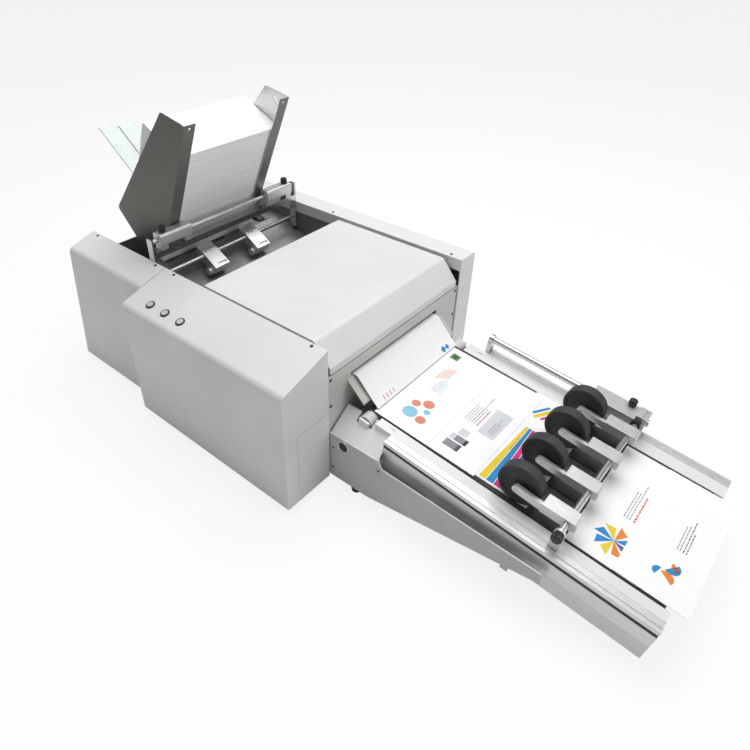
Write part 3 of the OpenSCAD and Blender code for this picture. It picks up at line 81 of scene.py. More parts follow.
# The body's height in mm, and the slope of the near covers' tops
BODY_H = 285
COVER_SLOPE = math.radians(17.2)
COVER_UP = np.array([0, -math.sin(COVER_SLOPE), math.cos(COVER_SLOPE)])
# How far the loaded stack leans back from upright
STACK_LEAN = math.radians(24.7)

# The colour sockets of a Mix node, which it has by number: two inputs and one output
MIX_A, MIX_B, MIX_OUT = 6, 7, 2

# The columns of a face's centre: machine x, y and z, then s down the conveyor and w square to it
X, Y, Z, S, W = range(5)
# A face whose normal goes past this along an axis looks that way
FACING = 0.9


def machine(point):
    """Millimetres from the machine's zero to metres in the part's frame, for a point or an array."""
    return np.asarray(point, float) * MM + ORIGIN


def deck(point):
    """Conveyor coordinates in mm (s down the slope, y across, w square to the belts) to metres."""
    point = np.asarray(point, float) * MM
    s, y, w = point[..., 0], point[..., 1], point[..., 2]
    x = s * math.cos(SLOPE) + w * math.sin(SLOPE)
    z = DECK_Z - s * math.sin(SLOPE) + w * math.cos(SLOPE)
    return np.stack([x, y, z], -1) + ORIGIN * [1, 1, 0]


def on_cover(x, y):
    """A point on the near covers' sloping tops, from x and y in mm to metres."""
    return machine((x, y, BODY_H + y * math.tan(COVER_SLOPE)))


# Colour and nodes
def linear(code):
    """An sRGB hex colour as linear RGBA."""
    parts = np.array([int(code[i:i + 2], 16) for i in (1, 3, 5)]) / 255
    parts = np.where(parts <= 0.04045, parts / 12.92, ((parts + 0.055) / 1.055) ** 2.4)
    return (*parts.tolist(), 1.0)


def add(tree, kind, inputs=None, **settings):
    """Adds a node, sets its properties, then its inputs: a socket as a value makes a link."""
    node = tree.nodes.new(kind)
    for key, value in settings.items():
        setattr(node, key, value)
    for key, value in (inputs or {}).items():
        if isinstance(value, bpy.types.NodeSocket):
            tree.links.new(value, node.inputs[key])
        else:
            node.inputs[key].default_value = value
    return node


def new_material(name):
    """A material with an empty node tree, or with None in its place where the material is made already."""
    material = bpy.data.materials.get(name)
    if material:
        return material, None
    material = bpy.data.materials.new(name)
    material.use_nodes = True
    material.node_tree.nodes.clear()
    return material, material.node_tree


def close(material, tree, shader):
    """Leads a shader to the material's output."""
    add(tree, "ShaderNodeOutputMaterial", {"Surface": shader.outputs[0]})
    return material


def two_tone(tree, vector, scale, dark, light, detail, low=0.35, high=0.65):
    """A noise that runs from one colour to the other, as a colour and as the bare noise."""
    noise = add(tree, "ShaderNodeTexNoise", {"Vector": vector, "Scale": scale, "Detail": detail})
    ramp = add(tree, "ShaderNodeValToRGB", {"Fac": noise.outputs["Fac"]})
    stops = ramp.color_ramp.elements
    stops[0].position = low
    stops[0].color = linear(dark)
    stops[1].position = high
    stops[1].color = linear(light)
    return ramp.outputs["Color"], noise.outputs["Fac"]


def powder_coat(name, colour, shade, roughness=0.42):
    """Powder coated sheet: an even satin colour with a very fine orange peel that softens the highlights.
    The peel is really about 0.5 mm; it's drawn 2.2 mm coarse so that it shows."""
    material, tree = new_material(name)
    if tree is None:
        return material
    peel_size = 0.0022
    place = add(tree, "ShaderNodeTexCoord").outputs["Object"]
    tint, _ = two_tone(tree, place, 9.0, shade, colour, 3.0)
    peel = add(tree, "ShaderNodeTexNoise", {"Vector": place, "Scale": 1 / peel_size, "Detail": 2.0})
    bump = add(tree, "ShaderNodeBump", {"Height": peel.outputs["Fac"], "Strength": 0.10, "Distance": 0.0002})
    rough = add(tree, "ShaderNodeMapRange", {"Value": peel.outputs["Fac"], "To Min": roughness - 0.05,
                                             "To Max": roughness + 0.06})
    shader = add(tree, "ShaderNodeBsdfPrincipled", {"Base Color": tint, "Roughness": rough.outputs[0],
                                                    "Normal": bump.outputs[0]})
    return close(material, tree, shader)


def brushed_metal(name, colour, shade, along, roughness, pitch, reach, metallic=1.0):
    """Brushed or drawn metal: fine lines along one axis that stretch the reflections across them.
    The lines are about 0.1 mm apart on the real sheet and are drawn 1 to 3 mm apart so that they show.
    Pitch is their size across, and reach their length, in metres."""
    material, tree = new_material(name)
    if tree is None:
        return material
    place = add(tree, "ShaderNodeTexCoord").outputs["Object"]
    scale = [1 / reach if axis == along else 1 / pitch for axis in range(3)]
    lines = add(tree, "ShaderNodeMapping", {"Vector": place, "Scale": scale})
    tint, noise = two_tone(tree, lines.outputs[0], 1.0, shade, colour, 3.0, 0.3, 0.7)
    rough = add(tree, "ShaderNodeMapRange", {"Value": noise, "To Min": roughness - 0.08,
                                             "To Max": roughness + 0.12})
    bump = add(tree, "ShaderNodeBump", {"Height": noise, "Strength": 0.04, "Distance": 0.0002})
    shader = add(tree, "ShaderNodeBsdfPrincipled", {"Base Color": tint, "Metallic": metallic,
                                                    "Roughness": rough.outputs[0], "Normal": bump.outputs[0]})
    return close(material, tree, shader)


def moulded(name, colour, shade, roughness, grain=0.0015, strength=0.12):
    """Moulded plastic or rubber: a spark-eroded grain with a slight cloud in the colour.
    The grain is drawn 1.5 to 2.5 mm coarse so that it shows."""
    material, tree = new_material(name)
    if tree is None:
        return material
    place = add(tree, "ShaderNodeTexCoord").outputs["Object"]
    tint, _ = two_tone(tree, place, 45.0, shade, colour, 3.0)
    pits = add(tree, "ShaderNodeTexNoise", {"Vector": place, "Scale": 1 / grain, "Detail": 3.0})
    rough = add(tree, "ShaderNodeMapRange", {"Value": pits.outputs["Fac"], "To Min": roughness - 0.07,
                                             "To Max": roughness + 0.08})
    bump = add(tree, "ShaderNodeBump", {"Height": pits.outputs["Fac"], "Strength": strength,
                                        "Distance": 0.0003})
    shader = add(tree, "ShaderNodeBsdfPrincipled", {"Base Color": tint, "Roughness": rough.outputs[0],
                                                    "Normal": bump.outputs[0]})
    return close(material, tree, shader)


def paper_finish(name, colour, shade):
    """Uncoated wove paper: matt, with a faint fibre cloud 4 mm across."""
    material, tree = new_material(name)
    if tree is None:
        return material
    place = add(tree, "ShaderNodeTexCoord").outputs["Object"]
    tint, fibres = two_tone(tree, place, 250.0, shade, colour, 5.0, 0.3, 0.7)
    bump = add(tree, "ShaderNodeBump", {"Height": fibres, "Strength": 0.05, "Distance": 0.0002})
    shader = add(tree, "ShaderNodeBsdfPrincipled", {"Base Color": tint, "Roughness": 0.85,
                                                    "Specular IOR Level": 0.2, "Normal": bump.outputs[0]})
    return close(material, tree, shader)


def stacked_paper(name, colour, shade, pitch):
    """Cut edges of stacked envelopes: bands across the lean, one envelope's 0.7 mm drawn as high as pitch
    so that it shows."""
    material, tree = new_material(name)
    if tree is None:
        return material
    place = add(tree, "ShaderNodeTexCoord").outputs["Object"]
    turned = add(tree, "ShaderNodeMapping", {"Vector": place, "Rotation": (0, -STACK_LEAN, 0)})
    bands = add(tree, "ShaderNodeMapping", {"Vector": turned.outputs[0], "Scale": (6, 6, 1 / pitch)})
    tint, noise = two_tone(tree, bands.outputs[0], 1.0, shade, colour, 2.0, 0.35, 0.62)
    bump = add(tree, "ShaderNodeBump", {"Height": noise, "Strength": 0.1, "Distance": 0.0004})
    shader = add(tree, "ShaderNodeBsdfPrincipled", {"Base Color": tint, "Roughness": 0.85,
                                                    "Specular IOR Level": 0.2, "Normal": bump.outputs[0]})
    return close(material, tree, shader)


def printed_ink(name, colour):
    """Water based ink sunk into the paper: the paper's matt look with a fine mottle in the colour."""
    material, tree = new_material(name)
    if tree is None:
        return material
    place = add(tree, "ShaderNodeTexCoord").outputs["Object"]
    mottle = add(tree, "ShaderNodeTexNoise", {"Vector": place, "Scale": 600.0, "Detail": 3.0})
    tint = add(tree, "ShaderNodeMix", {"Factor": 0.06, MIX_A: colour, MIX_B: mottle.outputs["Color"]},
               data_type="RGBA")
    shader = add(tree, "ShaderNodeBsdfPrincipled", {"Base Color": tint.outputs[MIX_OUT], "Roughness": 0.8,
                                                    "Specular IOR Level": 0.2})
    return close(material, tree, shader)


def frosted_sheet(name, colour, shade):
    """Clear acrylic with a frosted back: it lets some light through and looks faintly green."""
    material, tree = new_material(name)
    if tree is None:
        return material
    place = add(tree, "ShaderNodeTexCoord").outputs["Object"]
    tint, frost = two_tone(tree, place, 30.0, shade, colour, 3.0)
    bump = add(tree, "ShaderNodeBump", {"Height": frost, "Strength": 0.05, "Distance": 0.0003})
    shader = add(tree, "ShaderNodeBsdfPrincipled", {"Base Color": tint, "Roughness": 0.25,
                                                    "Transmission Weight": 0.25, "IOR": 1.49,
                                                    "Normal": bump.outputs[0]})
    return close(material, tree, shader)


def laminate(name, colour, shade):
    """Glass-fibre circuit laminate under solder mask: glossy green with the tracks showing as a fine grid."""
    material, tree = new_material(name)
    if tree is None:
        return material
    place = add(tree, "ShaderNodeTexCoord").outputs["Object"]
    tracks = add(tree, "ShaderNodeTexBrick", {"Vector": place, "Scale": 90.0, "Color1": linear(colour),
                                              "Color2": linear(shade), "Mortar": linear("#4C9A62"),
                                              "Mortar Size": 0.03})
    shader = add(tree, "ShaderNodeBsdfPrincipled", {"Base Color": tracks.outputs["Color"], "Roughness": 0.3,
                                                    "Coat Weight": 0.4})
    return close(material, tree, shader)


def finishes():
    """Every finish of the machine by its short name."""
    return {
        "cover": powder_coat("pale powder coated cover", "#E0E0DF", "#DBDBDA"),
        "lid": powder_coat("powder coated top cover", "#DCDCDB", "#D7D7D6"),
        "end_plate": powder_coat("powder coated end plate", "#C9CAC6", "#C2C3BF"),
        "conveyor": powder_coat("white powder coated conveyor sheet", "#E6E7E5", "#E0E1DF", 0.35),
        "sheet": brushed_metal("zinc plated steel sheet", "#9FA09D", "#8A8B88", X, 0.42, 0.003, 0.05, 0.8),
        "guide": brushed_metal("brushed stainless steel guide", "#7A7A76", "#6A6A66", Y, 0.42, 0.0016, 0.09,
                               0.7),
        "bright": brushed_metal("ground steel shaft", "#D9DBDC", "#CBCDCE", Y, 0.24, 0.002, 0.2),
        "alu": brushed_metal("milled aluminium", "#E3E5E4", "#CFD1D0", X, 0.36, 0.0015, 0.08, 0.75),
        "rail": brushed_metal("anodised aluminium rail", "#E6E8E6", "#D6D9D6", X, 0.38, 0.0015, 0.2, 0.6),
        "rubber": moulded("black rubber", "#35383A", "#2A2C2E", 0.62),
        "belt": moulded("woven rubber belt", "#3A3B3C", "#2C2D2E", 0.7, 0.0025, 0.3),
        "black": moulded("black moulded nylon", "#232425", "#1A1B1C", 0.38),
        "dark": moulded("black anodised housing", "#3A3C3E", "#2E3032", 0.45),
        "tank": moulded("glossy ink tank", "#2C2F33", "#232529", 0.2),
        "button": moulded("grey moulded button", "#C9CBCC", "#BFC1C2", 0.3, 0.002, 0.05),
        "screw": brushed_metal("blackened screw steel", "#5C5D5E", "#3E3F40", X, 0.35, 0.001, 0.002),
        "board": laminate("circuit board laminate", "#2F6A45", "#295E3D"),
        "paper": paper_finish("white wove paper", "#FAFAFA", "#F3F3F3"),
        "stack": stacked_paper("stacked envelope edges", "#FCFCFE", "#F0F0F4", 0.0014),
        # The bed between the belts: a dark painted shade for the shadow under the wheels and arms
        "bed": moulded("conveyor bed painted shade", "#4A4C4B", "#3F4140", 0.5),
        "roller": moulded("white roller sleeve", "#D4D5D2", "#CACBC8", 0.6),
        # Grey painted shade for the side faces of the white conveyor sheet, which face away from the light
        "panel": powder_coat("conveyor side panel painted shade", "#BFC1C1", "#B8BABA"),
        "ramp": frosted_sheet("frosted acrylic ramp", "#E4EEE8", "#D9E6DF"),
    }


# Pieces from arrays
def mesh_piece(name, verts, faces, material, body, slot=None, nodes=(), smooth=True):
    """One finished piece from a vertex array and a face list or array, riding on a body."""
    mesh = bpy.data.meshes.new(name)
    if isinstance(faces, np.ndarray):
        faces = faces.tolist()
    mesh.from_pydata(np.asarray(verts, float).tolist(), [], faces)
    mesh.update()
    mesh.materials.append(material)
    ob = bpy.data.objects.new(name, mesh)
    bpy.context.scene.collection.objects.link(ob)
    if smooth:
        mesh.polygons.foreach_set("use_smooth", [True] * len(mesh.polygons))
        mesh.set_sharp_from_angle(angle=math.radians(35))
    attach(ob, body)
    if nodes:
        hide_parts(*nodes)
    return ob


def grid_faces(rows, cols):
    """Quads between neighbouring rows and columns of a grid whose last column joins the first."""
    i = np.arange(rows - 1)[:, None]
    j = np.arange(cols)[None, :]
    here = i * cols + j
    beside = i * cols + (j + 1) % cols
    return np.stack([here, beside, beside + cols, here + cols], -1).reshape(-1, 4)


def lathe(profile, centre, axis, turns, flutes=0, depth=0.0, fluted=(0, 0)):
    """A profile of (radius, height) pairs in mm turned about an axis.
    The point at angle t is centre + r cos t e1 + r sin t e2 + h axis, with e1 and e2 square to the axis.
    Radii between the two fluted rows are scaled by 1 - depth (0.5 + 0.5 cos(flutes t)) for a grip."""
    outline = np.asarray(profile, float) * MM
    axis = np.asarray(axis, float) / np.linalg.norm(axis)
    aside = [0, 0, 1.0] if abs(axis[2]) < 0.9 else [0, 1.0, 0]
    e1 = np.cross(axis, aside)
    e1 /= np.linalg.norm(e1)
    e2 = np.cross(axis, e1)
    t = np.linspace(0, 2 * np.pi, turns, endpoint=False)
    radius = np.repeat(outline[:, :1], turns, 1)
    if flutes:
        radius[fluted[0]:fluted[1]] *= 1 - depth * (0.5 + 0.5 * np.cos(flutes * t))[None]
    height = np.repeat(outline[:, 1:], turns, 1)
    ring = np.cos(t)[:, None] * e1 + np.sin(t)[:, None] * e2
    points = np.asarray(centre, float) + radius[..., None] * ring + height[..., None] * axis
    return points.reshape(-1, 3), grid_faces(len(outline), turns)


def bar(to, lo, hi):
    """A box between two corners, put in place by machine() or deck()."""
    x, y, z = zip(lo, hi)
    corners = np.array([(x[i], y[j], z[k]) for i in (0, 1) for j in (0, 1) for k in (0, 1)])
    sides = [[0, 1, 3, 2], [4, 6, 7, 5], [0, 4, 5, 1], [2, 3, 7, 6], [0, 2, 6, 4], [1, 5, 7, 3]]
    return to(corners), np.array(sides)


def join(parts):
    """Several (vertices, faces) pairs as one."""
    all_verts, all_faces, count = [], [], 0
    for verts, faces in parts:
        all_verts.append(np.asarray(verts))
        all_faces.append(np.asarray(faces) + count)
        count += len(verts)
    return np.concatenate(all_verts), np.concatenate(all_faces)


def sealed(ob):
    """Merges the doubled points at the poles of a turned shape and points its faces outwards."""
    bm = bmesh.new()
    bm.from_mesh(ob.data)
    bmesh.ops.remove_doubles(bm, verts=bm.verts, dist=1e-6)
    bmesh.ops.recalc_face_normals(bm, faces=bm.faces)
    bm.to_mesh(ob.data)
    bm.free()


def softened(node, width, material):
    """A copy of a CAD node with its edges rounded by a bevel of a width in mm, shown in the node's place."""
    source = frame["nodes"][node]
    mesh = source.data.copy()
    mesh.materials.clear()
    mesh.materials.append(material)
    ob = bpy.data.objects.new(node + "_rounded", mesh)
    bpy.context.scene.collection.objects.link(ob)
    bm = bmesh.new()
    bm.from_mesh(mesh)
    bmesh.ops.remove_doubles(bm, verts=bm.verts, dist=2e-6)
    bmesh.ops.dissolve_limit(bm, angle_limit=math.radians(0.6), verts=bm.verts, edges=bm.edges)
    for face in bm.faces:
        face.smooth = True
    bm.to_mesh(mesh)
    bm.free()
    if "custom_normal" in mesh.attributes:
        mesh.attributes.remove(mesh.attributes["custom_normal"])
    bevel = ob.modifiers.new("edges", "BEVEL")
    bevel.width = width * MM
    bevel.segments = 3
    bevel.limit_method = "ANGLE"
    bevel.angle_limit = math.radians(28)
    bevel.use_clamp_overlap = True
    bevel.harden_normals = True
    shading = ob.modifiers.new("shading", "WEIGHTED_NORMAL")
    shading.keep_sharp = True
    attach(ob, source["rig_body"])
    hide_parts(node)
    return ob


def paint(node, material):
    """Puts a material on a CAD node that stays as it is."""
    ob = frame["nodes"][node]
    ob.data.materials.clear()
    ob.data.materials.append(material)


def between(values, limits):
    """Which values lie between two limits."""
    return (values > limits[0]) & (values < limits[1])


def recolour(ob, material, pick):
    """Gives a second material to the faces that pick chooses from their centres and normals.
    The centres come in mm, in the columns X, Y, Z, S and W."""
    mesh = ob.data
    count = len(mesh.polygons)
    centres, normals = np.zeros(3 * count), np.zeros(3 * count)
    mesh.polygons.foreach_get("center", centres)
    mesh.polygons.foreach_get("normal", normals)
    at = (centres.reshape(-1, 3) + np.array(ob.matrix_world.translation) - ORIGIN) / MM
    rise = at[:, Z] - DECK_Z / MM
    along = at[:, X] * math.cos(SLOPE) - rise * math.sin(SLOPE)
    above = at[:, X] * math.sin(SLOPE) + rise * math.cos(SLOPE)
    mesh.materials.append(material)
    index = np.zeros(count, np.int32)
    mesh.polygons.foreach_get("material_index", index)
    index[pick(np.column_stack([at, along, above]), normals.reshape(-1, 3))] = len(mesh.materials) - 1
    mesh.polygons.foreach_set("material_index", index)
    mesh.update()


# Sizes and colours that a user would change
class PrinterSizes(bpy.types.PropertyGroup):
    cover_edge: bpy.props.FloatProperty(
        name="Cover edge", description="Radius of the folded covers' edges in mm",
        default=1.6, min=0.2, max=2.2)
    metal_edge: bpy.props.FloatProperty(
        name="Metal edge", description="Radius of the guide clamps' machined edges in mm",
        default=0.7, min=0.1, max=1.2)
    layer: bpy.props.FloatProperty(
        name="Layer", description="Height of one drawn layer of the stack in mm",
        default=1.4, min=0.7, max=4.0)


class PrinterColours(bpy.types.PropertyGroup):
    first: bpy.props.FloatVectorProperty(
        name="First print colour", description="Warm colour of the printed designs",
        subtype="COLOR", size=3, default=linear("#E8842C")[:3])
    second: bpy.props.FloatVectorProperty(
        name="Second print colour", description="Cool colour of the printed designs",
        subtype="COLOR", size=3, default=linear("#1E88C9")[:3])


# Operators, with the sizes and helpers that each one needs before it
class PRINTER_OT_covers(bpy.types.Operator):
    """Rounds the edges of the covers and paints them"""
    bl_idname = "printer.covers"
    bl_label = "Covers"

    def execute(self, context):
        finish = finishes()
        edge = context.scene.printer_sizes.cover_edge
        softened("control_cover", edge, finish["cover"])
        softened("near_rear_cover", edge, finish["cover"])
        softened("far_side_cover", edge, finish["cover"])
        softened("top_cover", edge, finish["lid"])
        softened("output_end_plate", 0.4, finish["end_plate"])
        softened("exit_chute", 0.4, finish["end_plate"])
        return {"FINISHED"}


class PRINTER_OT_chassis(bpy.types.Operator):
    """Finishes the chassis, the inner parts and the feet"""
    bl_idname = "printer.chassis"
    bl_label = "Chassis and inner parts"

    def execute(self, context):
        finish = finishes()
        for node in ("base_chassis", "near_side_frame", "far_side_frame", "platen", "power_supply"):
            paint(node, finish["sheet"])
        softened("feed_deck", 0.4, finish["sheet"])
        for node in ("print_head", "drive_motor"):
            paint(node, finish["dark"])
        for node in ("drive_belts", "rubber_feet", "exit_roller"):
            paint(node, finish["rubber"])
        for node in ("power_inlet", "power_switch"):
            softened(node, 0.4, finish["black"])
        paint("ink_tanks", finish["tank"])
        paint("main_board", finish["board"])
        paint("motor_shaft", finish["bright"])
        return {"FINISHED"}


# How far inside the ramp's edges its slots begin, in mm
RAMP_MARGIN = 6


class PRINTER_OT_hopper(bpy.types.Operator):
    """Guides, clamps, ramp, separators and feed rollers"""
    bl_idname = "printer.hopper"
    bl_label = "Hopper"

    def execute(self, context):
        finish = finishes()
        edge = context.scene.printer_sizes.metal_edge
        softened("near_guide_plate", 0.5, finish["guide"])
        far_guide = softened("far_guide_plate", 0.5, finish["guide"])
        for node in ("near_guide_clamp", "far_guide_clamp"):
            softened(node, edge, finish["alu"])
        for node in ("near_separator", "far_separator"):
            softened(node, 0.5, finish["alu"])
        ramp = softened("rear_ramp", 0.5, finish["ramp"])
        near_edge, far_edge = [(corner[1] - ORIGIN[1]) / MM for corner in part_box("rear_ramp")]

        def shaded_slot_walls(at, normal):
            inside = between(at[:, Y], (near_edge + RAMP_MARGIN, far_edge - RAMP_MARGIN))
            return inside & (np.abs(normal[:, Y]) > FACING)

        def inner_face(at, normal):
            return normal[:, Y] < -FACING

        # Painted shade: the walls of the ramp's slots are made black so the slots read as dark lines
        recolour(ramp, finish["black"], shaded_slot_walls)
        recolour(far_guide, finish["alu"], inner_face)
        paint("guide_bar", finish["bright"])
        paint("separator_shaft", finish["bright"])
        paint("feed_rollers", finish["black"])
        return {"FINISHED"}


# The bed between the conveyor's strips, painted dark as painted shade under the wheels and arms, in mm: its
# limits in y and s, and the height it stays under
BED_Y, BED_S, BED_TOP = (56, 309), (50, 540), -1.5
# The side panels lie outside these; their side faces get a grey painted shade
PANEL_Y = (6, 366)
# The carriage shaft's axis in s and w, the stretch of it that is thicker, and its own radius, in mm
SHAFT_S, SHAFT_W, SHAFT_THICK_Y, SHAFT_R = 389.0, 26.4, (300, 329), 6.0


class PRINTER_OT_conveyor(bpy.types.Operator):
    """Conveyor chassis, rails, belts, rollers and side bar"""
    bl_idname = "printer.conveyor"
    bl_label = "Conveyor"

    def execute(self, context):
        finish = finishes()
        chassis = softened("conveyor_chassis", 0.5, finish["conveyor"])

        def bed(at, normal):
            inside = between(at[:, Y], BED_Y) & between(at[:, S], BED_S)
            return inside & (normal[:, Z] > FACING) & (at[:, W] < BED_TOP)

        def panels(at, normal):
            outside = (at[:, Y] < PANEL_Y[0]) | (at[:, Y] > PANEL_Y[1])
            return outside & (np.abs(normal[:, Y]) > FACING)

        def thick_stretch(at, normal):
            off_axis = np.hypot(at[:, S] - SHAFT_S, at[:, W] - SHAFT_W)
            return between(at[:, Y], SHAFT_THICK_Y) & (off_axis > SHAFT_R)

        # Painted shade: the bed between the belts is darkened where the wheels and arms shade it
        recolour(chassis, finish["bed"], bed)
        # Painted shade: the conveyor's side faces are turned grey
        recolour(chassis, finish["panel"], panels)
        rail_details(finish, chassis["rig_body"])
        for node in ("near_rail", "far_rail"):
            softened(node, 0.5, finish["rail"])
        paint("conveyor_belts", finish["belt"])
        paint("conveyor_drive_roller", finish["roller"])
        paint("conveyor_idler_roller", finish["bright"])
        softened("side_bar", 0.8, finish["bright"])
        softened("far_carriage_clamp", 1.0, finish["alu"])
        softened("near_carriage_clamp", 0.7, finish["alu"])
        paint("carriage_shaft", finish["bright"])
        recolour(frame["nodes"]["carriage_shaft"], finish["black"], thick_stretch)
        for i in range(1, 5):
            softened("arm_%d" % i, 0.8, finish["alu"])
        return {"FINISHED"}


def rail_details(finish, body):
    """Black rubber strips in the rails' grooves as painted shade, the cable port, and black sheets as painted
    shade in the small slots in the near side panel.
    """
    # Black strips inside the rails' grooves: painted shade in the grooves
    strips = [bar(deck, (101.5, near, -12.7), (547.5, far, -7.3))
              for near, far in ((18.8, 22.6), (349.7, 353.5))]
    mesh_piece("rail_groove_shade_strips", *join(strips), finish["rubber"], body, "black_rubber", smooth=False)
    port = machine((29, 3, 98))
    out = (0, -1, 0)
    rim = [(9.4, 0.05), (9.4, 1.2), (9.9, 1.7), (11.4, 1.7), (12.2, 1.0), (12.4, 0.05), (9.4, 0.05)]
    sealed(mesh_piece("cable_port_rim", *lathe(rim, port, out, 64), finish["alu"], body, "aluminium"))
    plug = [(0, 0.35), (7.6, 0.35), (8.2, 0.9), (9.35, 0.9), (9.35, 0.1), (0, 0.1)]
    sealed(mesh_piece("cable_port", *lathe(plug, port, out, 64), finish["black"], body, "black_plastic"))
    # Thin black sheets over the side panel's slots: painted shade inside them
    slots = [bar(machine, (x - 3, 2.7, z - 1.6), (x + 3, 2.95, z + 1.6))
             for x, z in ((7, 83), (5, 35), (103, 91))]
    mesh_piece("side_panel_slot_shade", *join(slots), finish["rubber"], body, "black_rubber", smooth=False)


# A kick wheel's width and the round of its rim, in mm
WHEEL_W = 20.0
RIM_ROUND = 2.2


class PRINTER_OT_wheels(bpy.types.Operator):
    """Kick wheels: a black disc with a rounded rim, a recessed side and a bright axle end"""
    bl_idname = "printer.wheels"
    bl_label = "Kick wheels"

    def execute(self, context):
        finish = finishes()
        for i in range(1, 5):
            lo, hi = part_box("wheel_%d" % i)
            centre = np.array([(lo.x + hi.x) / 2, hi.y, (lo.z + hi.z) / 2])
            radius = (hi.x - lo.x) / 2 / MM
            body = "kick_wheel_%d" % i
            # Both rims are quarter circles in the profile: radius - round + round cos t, round - round sin t
            quarter = np.linspace(0, np.pi / 2, 5)
            out = radius - RIM_ROUND + RIM_ROUND * np.cos(quarter)
            over = RIM_ROUND - RIM_ROUND * np.sin(quarter)
            near_side = [(0, 2.4), (7, 2.4), (8, 1.2), (9, 2.6), (radius - 8, 2.6), (radius - 5, 0)]
            far_side = [(radius - 5, 0), (radius - 8, -2.2), (8, -2.2), (7, -1), (0, -1)]
            profile = [(r, h - WHEEL_W) for r, h in near_side]
            profile += list(zip(out, over - WHEEL_W))[::-1]
            profile += [(radius, -WHEEL_W / 2)] + list(zip(out, -over)) + far_side
            sealed(mesh_piece(body + "_tyre", *lathe(profile, centre, (0, 1, 0), 72), finish["rubber"], body,
                              "black_rubber", ["wheel_%d" % i]))
            axle = [(0, -9), (2.6, -9), (2.95, -8.6), (2.95, 2.5), (0, 2.5)]
            axle = [(r, h - WHEEL_W) for r, h in axle]
            sealed(mesh_piece(body + "_axle", *lathe(axle, centre, (0, 1, 0), 24), finish["bright"], body,
                              "shaft_steel"))
        return {"FINISHED"}


# The first button's place on the control cover and the pitch from one to the next, in mm
BUTTON_X, BUTTON_Y, BUTTON_PITCH = -351, -76.5, 42


class PRINTER_OT_controls(bpy.types.Operator):
    """Buttons with dished tops, and their bezels"""
    bl_idname = "printer.controls"
    bl_label = "Buttons"

    def execute(self, context):
        finish = finishes()
        cap = [(0, 2.1), (3.2, 2.3), (4.6, 2.8), (5.5, 2.6), (5.95, 2.0), (6, 1.2), (6, -7.5), (7.6, -7.5),
               (7.6, -7.9), (6, -8), (0, -8)]
        ring = [(6.3, 0.4), (6.3, 1.3), (6.8, 1.9), (7.8, 1.9), (8.6, 1.2), (8.9, 0.2), (8.9, -0.6),
                (6.3, -0.6), (6.3, 0.4)]
        for i, body in enumerate(("first_button", "second_button", "third_button")):
            centre = on_cover(BUTTON_X + BUTTON_PITCH * i, BUTTON_Y)
            node = "button_%d" % (i + 1)
            sealed(mesh_piece(node + "_cap", *lathe(cap, centre, COVER_UP, 48), finish["button"], body,
                              "button_plastic", [node]))
            mesh_piece(node + "_bezel", *lathe(ring, centre, COVER_UP, 48), finish["dark"], "printer_body",
                       "black_plastic")
        return {"FINISHED"}


# A knob's cap above its stem's top, its stem below that, and the cap's radius, in mm
KNOB_CAP, KNOB_STEM, KNOB_R = 12.3, 6.7, 7.0


class PRINTER_OT_knobs(bpy.types.Operator):
    """Grip knobs: a fluted black cap with a rounded top on its stem"""
    bl_idname = "printer.knobs"
    bl_label = "Knobs"

    def execute(self, context):
        finish = finishes()
        off_deck = np.array([math.sin(SLOPE), 0, math.cos(SLOPE)])
        stem_r = 3
        profile = [(0, -6.6), (2.9, -6.6), (2.9, 0.4), (5.6, 0.4), (6.6, 1.0), (KNOB_R, 2.0), (KNOB_R, 10.2),
                   (6.6, 11.4), (5.4, 12.2), (3.0, KNOB_CAP), (0, KNOB_CAP)]
        for node, body, axis in (("near_guide_knob", "near_guide_screw", (0, 0, 1)),
                                 ("far_guide_knob", "far_guide_screw", (0, 0, 1)),
                                 ("near_carriage_knob", "near_carriage_screw", (0, -1, 0)),
                                 ("far_carriage_knob", "far_carriage_screw", off_deck)):
            lo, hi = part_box(node)
            axis = np.asarray(axis, float)
            centre = np.array((lo + hi) / 2) - axis * ((KNOB_CAP + KNOB_STEM) / 2 - KNOB_STEM) * MM
            radius = (hi.z - lo.z) / 2 / MM if node == "near_carriage_knob" else KNOB_R
            shape = [(r * radius / KNOB_R if r > stem_r else r, h) for r, h in profile]
            verts, faces = lathe(shape, centre, axis, 72, 12, 0.12, (4, 8))
            sealed(mesh_piece(node + "_grip", verts, faces, finish["black"], body, "black_plastic", [node]))
        return {"FINISHED"}


class PRINTER_OT_screws(bpy.types.Operator):
    """Button head screws with a dimple in the head, on the covers and the end plate"""
    bl_idname = "printer.screws"
    bl_label = "Screws"

    def execute(self, context):
        finish = finishes()
        places = [(on_cover(x, -5), COVER_UP) for x in (-624, -429, -373, -29)]
        places += [(machine((x, 393, BODY_H)), (0, 0, 1)) for x in (-333, -29)]
        places += [(machine((-2.5, y, BODY_H + z)), (1, 0, 0)) for y in (8, 376) for z in (-64, -118)]
        head = [(0, 0.5), (1.1, 0.5), (1.25, 1.2), (1.9, 1.1), (2.6, 0.7), (3.0, 0.05), (3.0, -0.2)]
        heads = join([lathe(head, place, axis, 24) for place, axis in places])
        sealed(mesh_piece("cover_screw_heads", *heads, finish["screw"], "printer_body", "screw_steel",
                          ["cover_screws"]))
        return {"FINISHED"}


class PRINTER_OT_envelopes(bpy.types.Operator):
    """The loaded stack and the printed envelopes with their generic designs"""
    bl_idname = "printer.envelopes"
    bl_label = "Envelopes"

    def execute(self, context):
        finish = finishes()
        paint("printed_envelopes", finish["paper"])
        prints(context.scene.printer_colours)
        stack(finish, context.scene.printer_sizes.layer)
        return {"FINISHED"}


# An envelope's near end in y, its width, its thickness and the gap that it rests on, in mm
ENV_Y0, ENV_W, ENV_T, SEAT = 65.5, 104.8, 0.7, 0.3
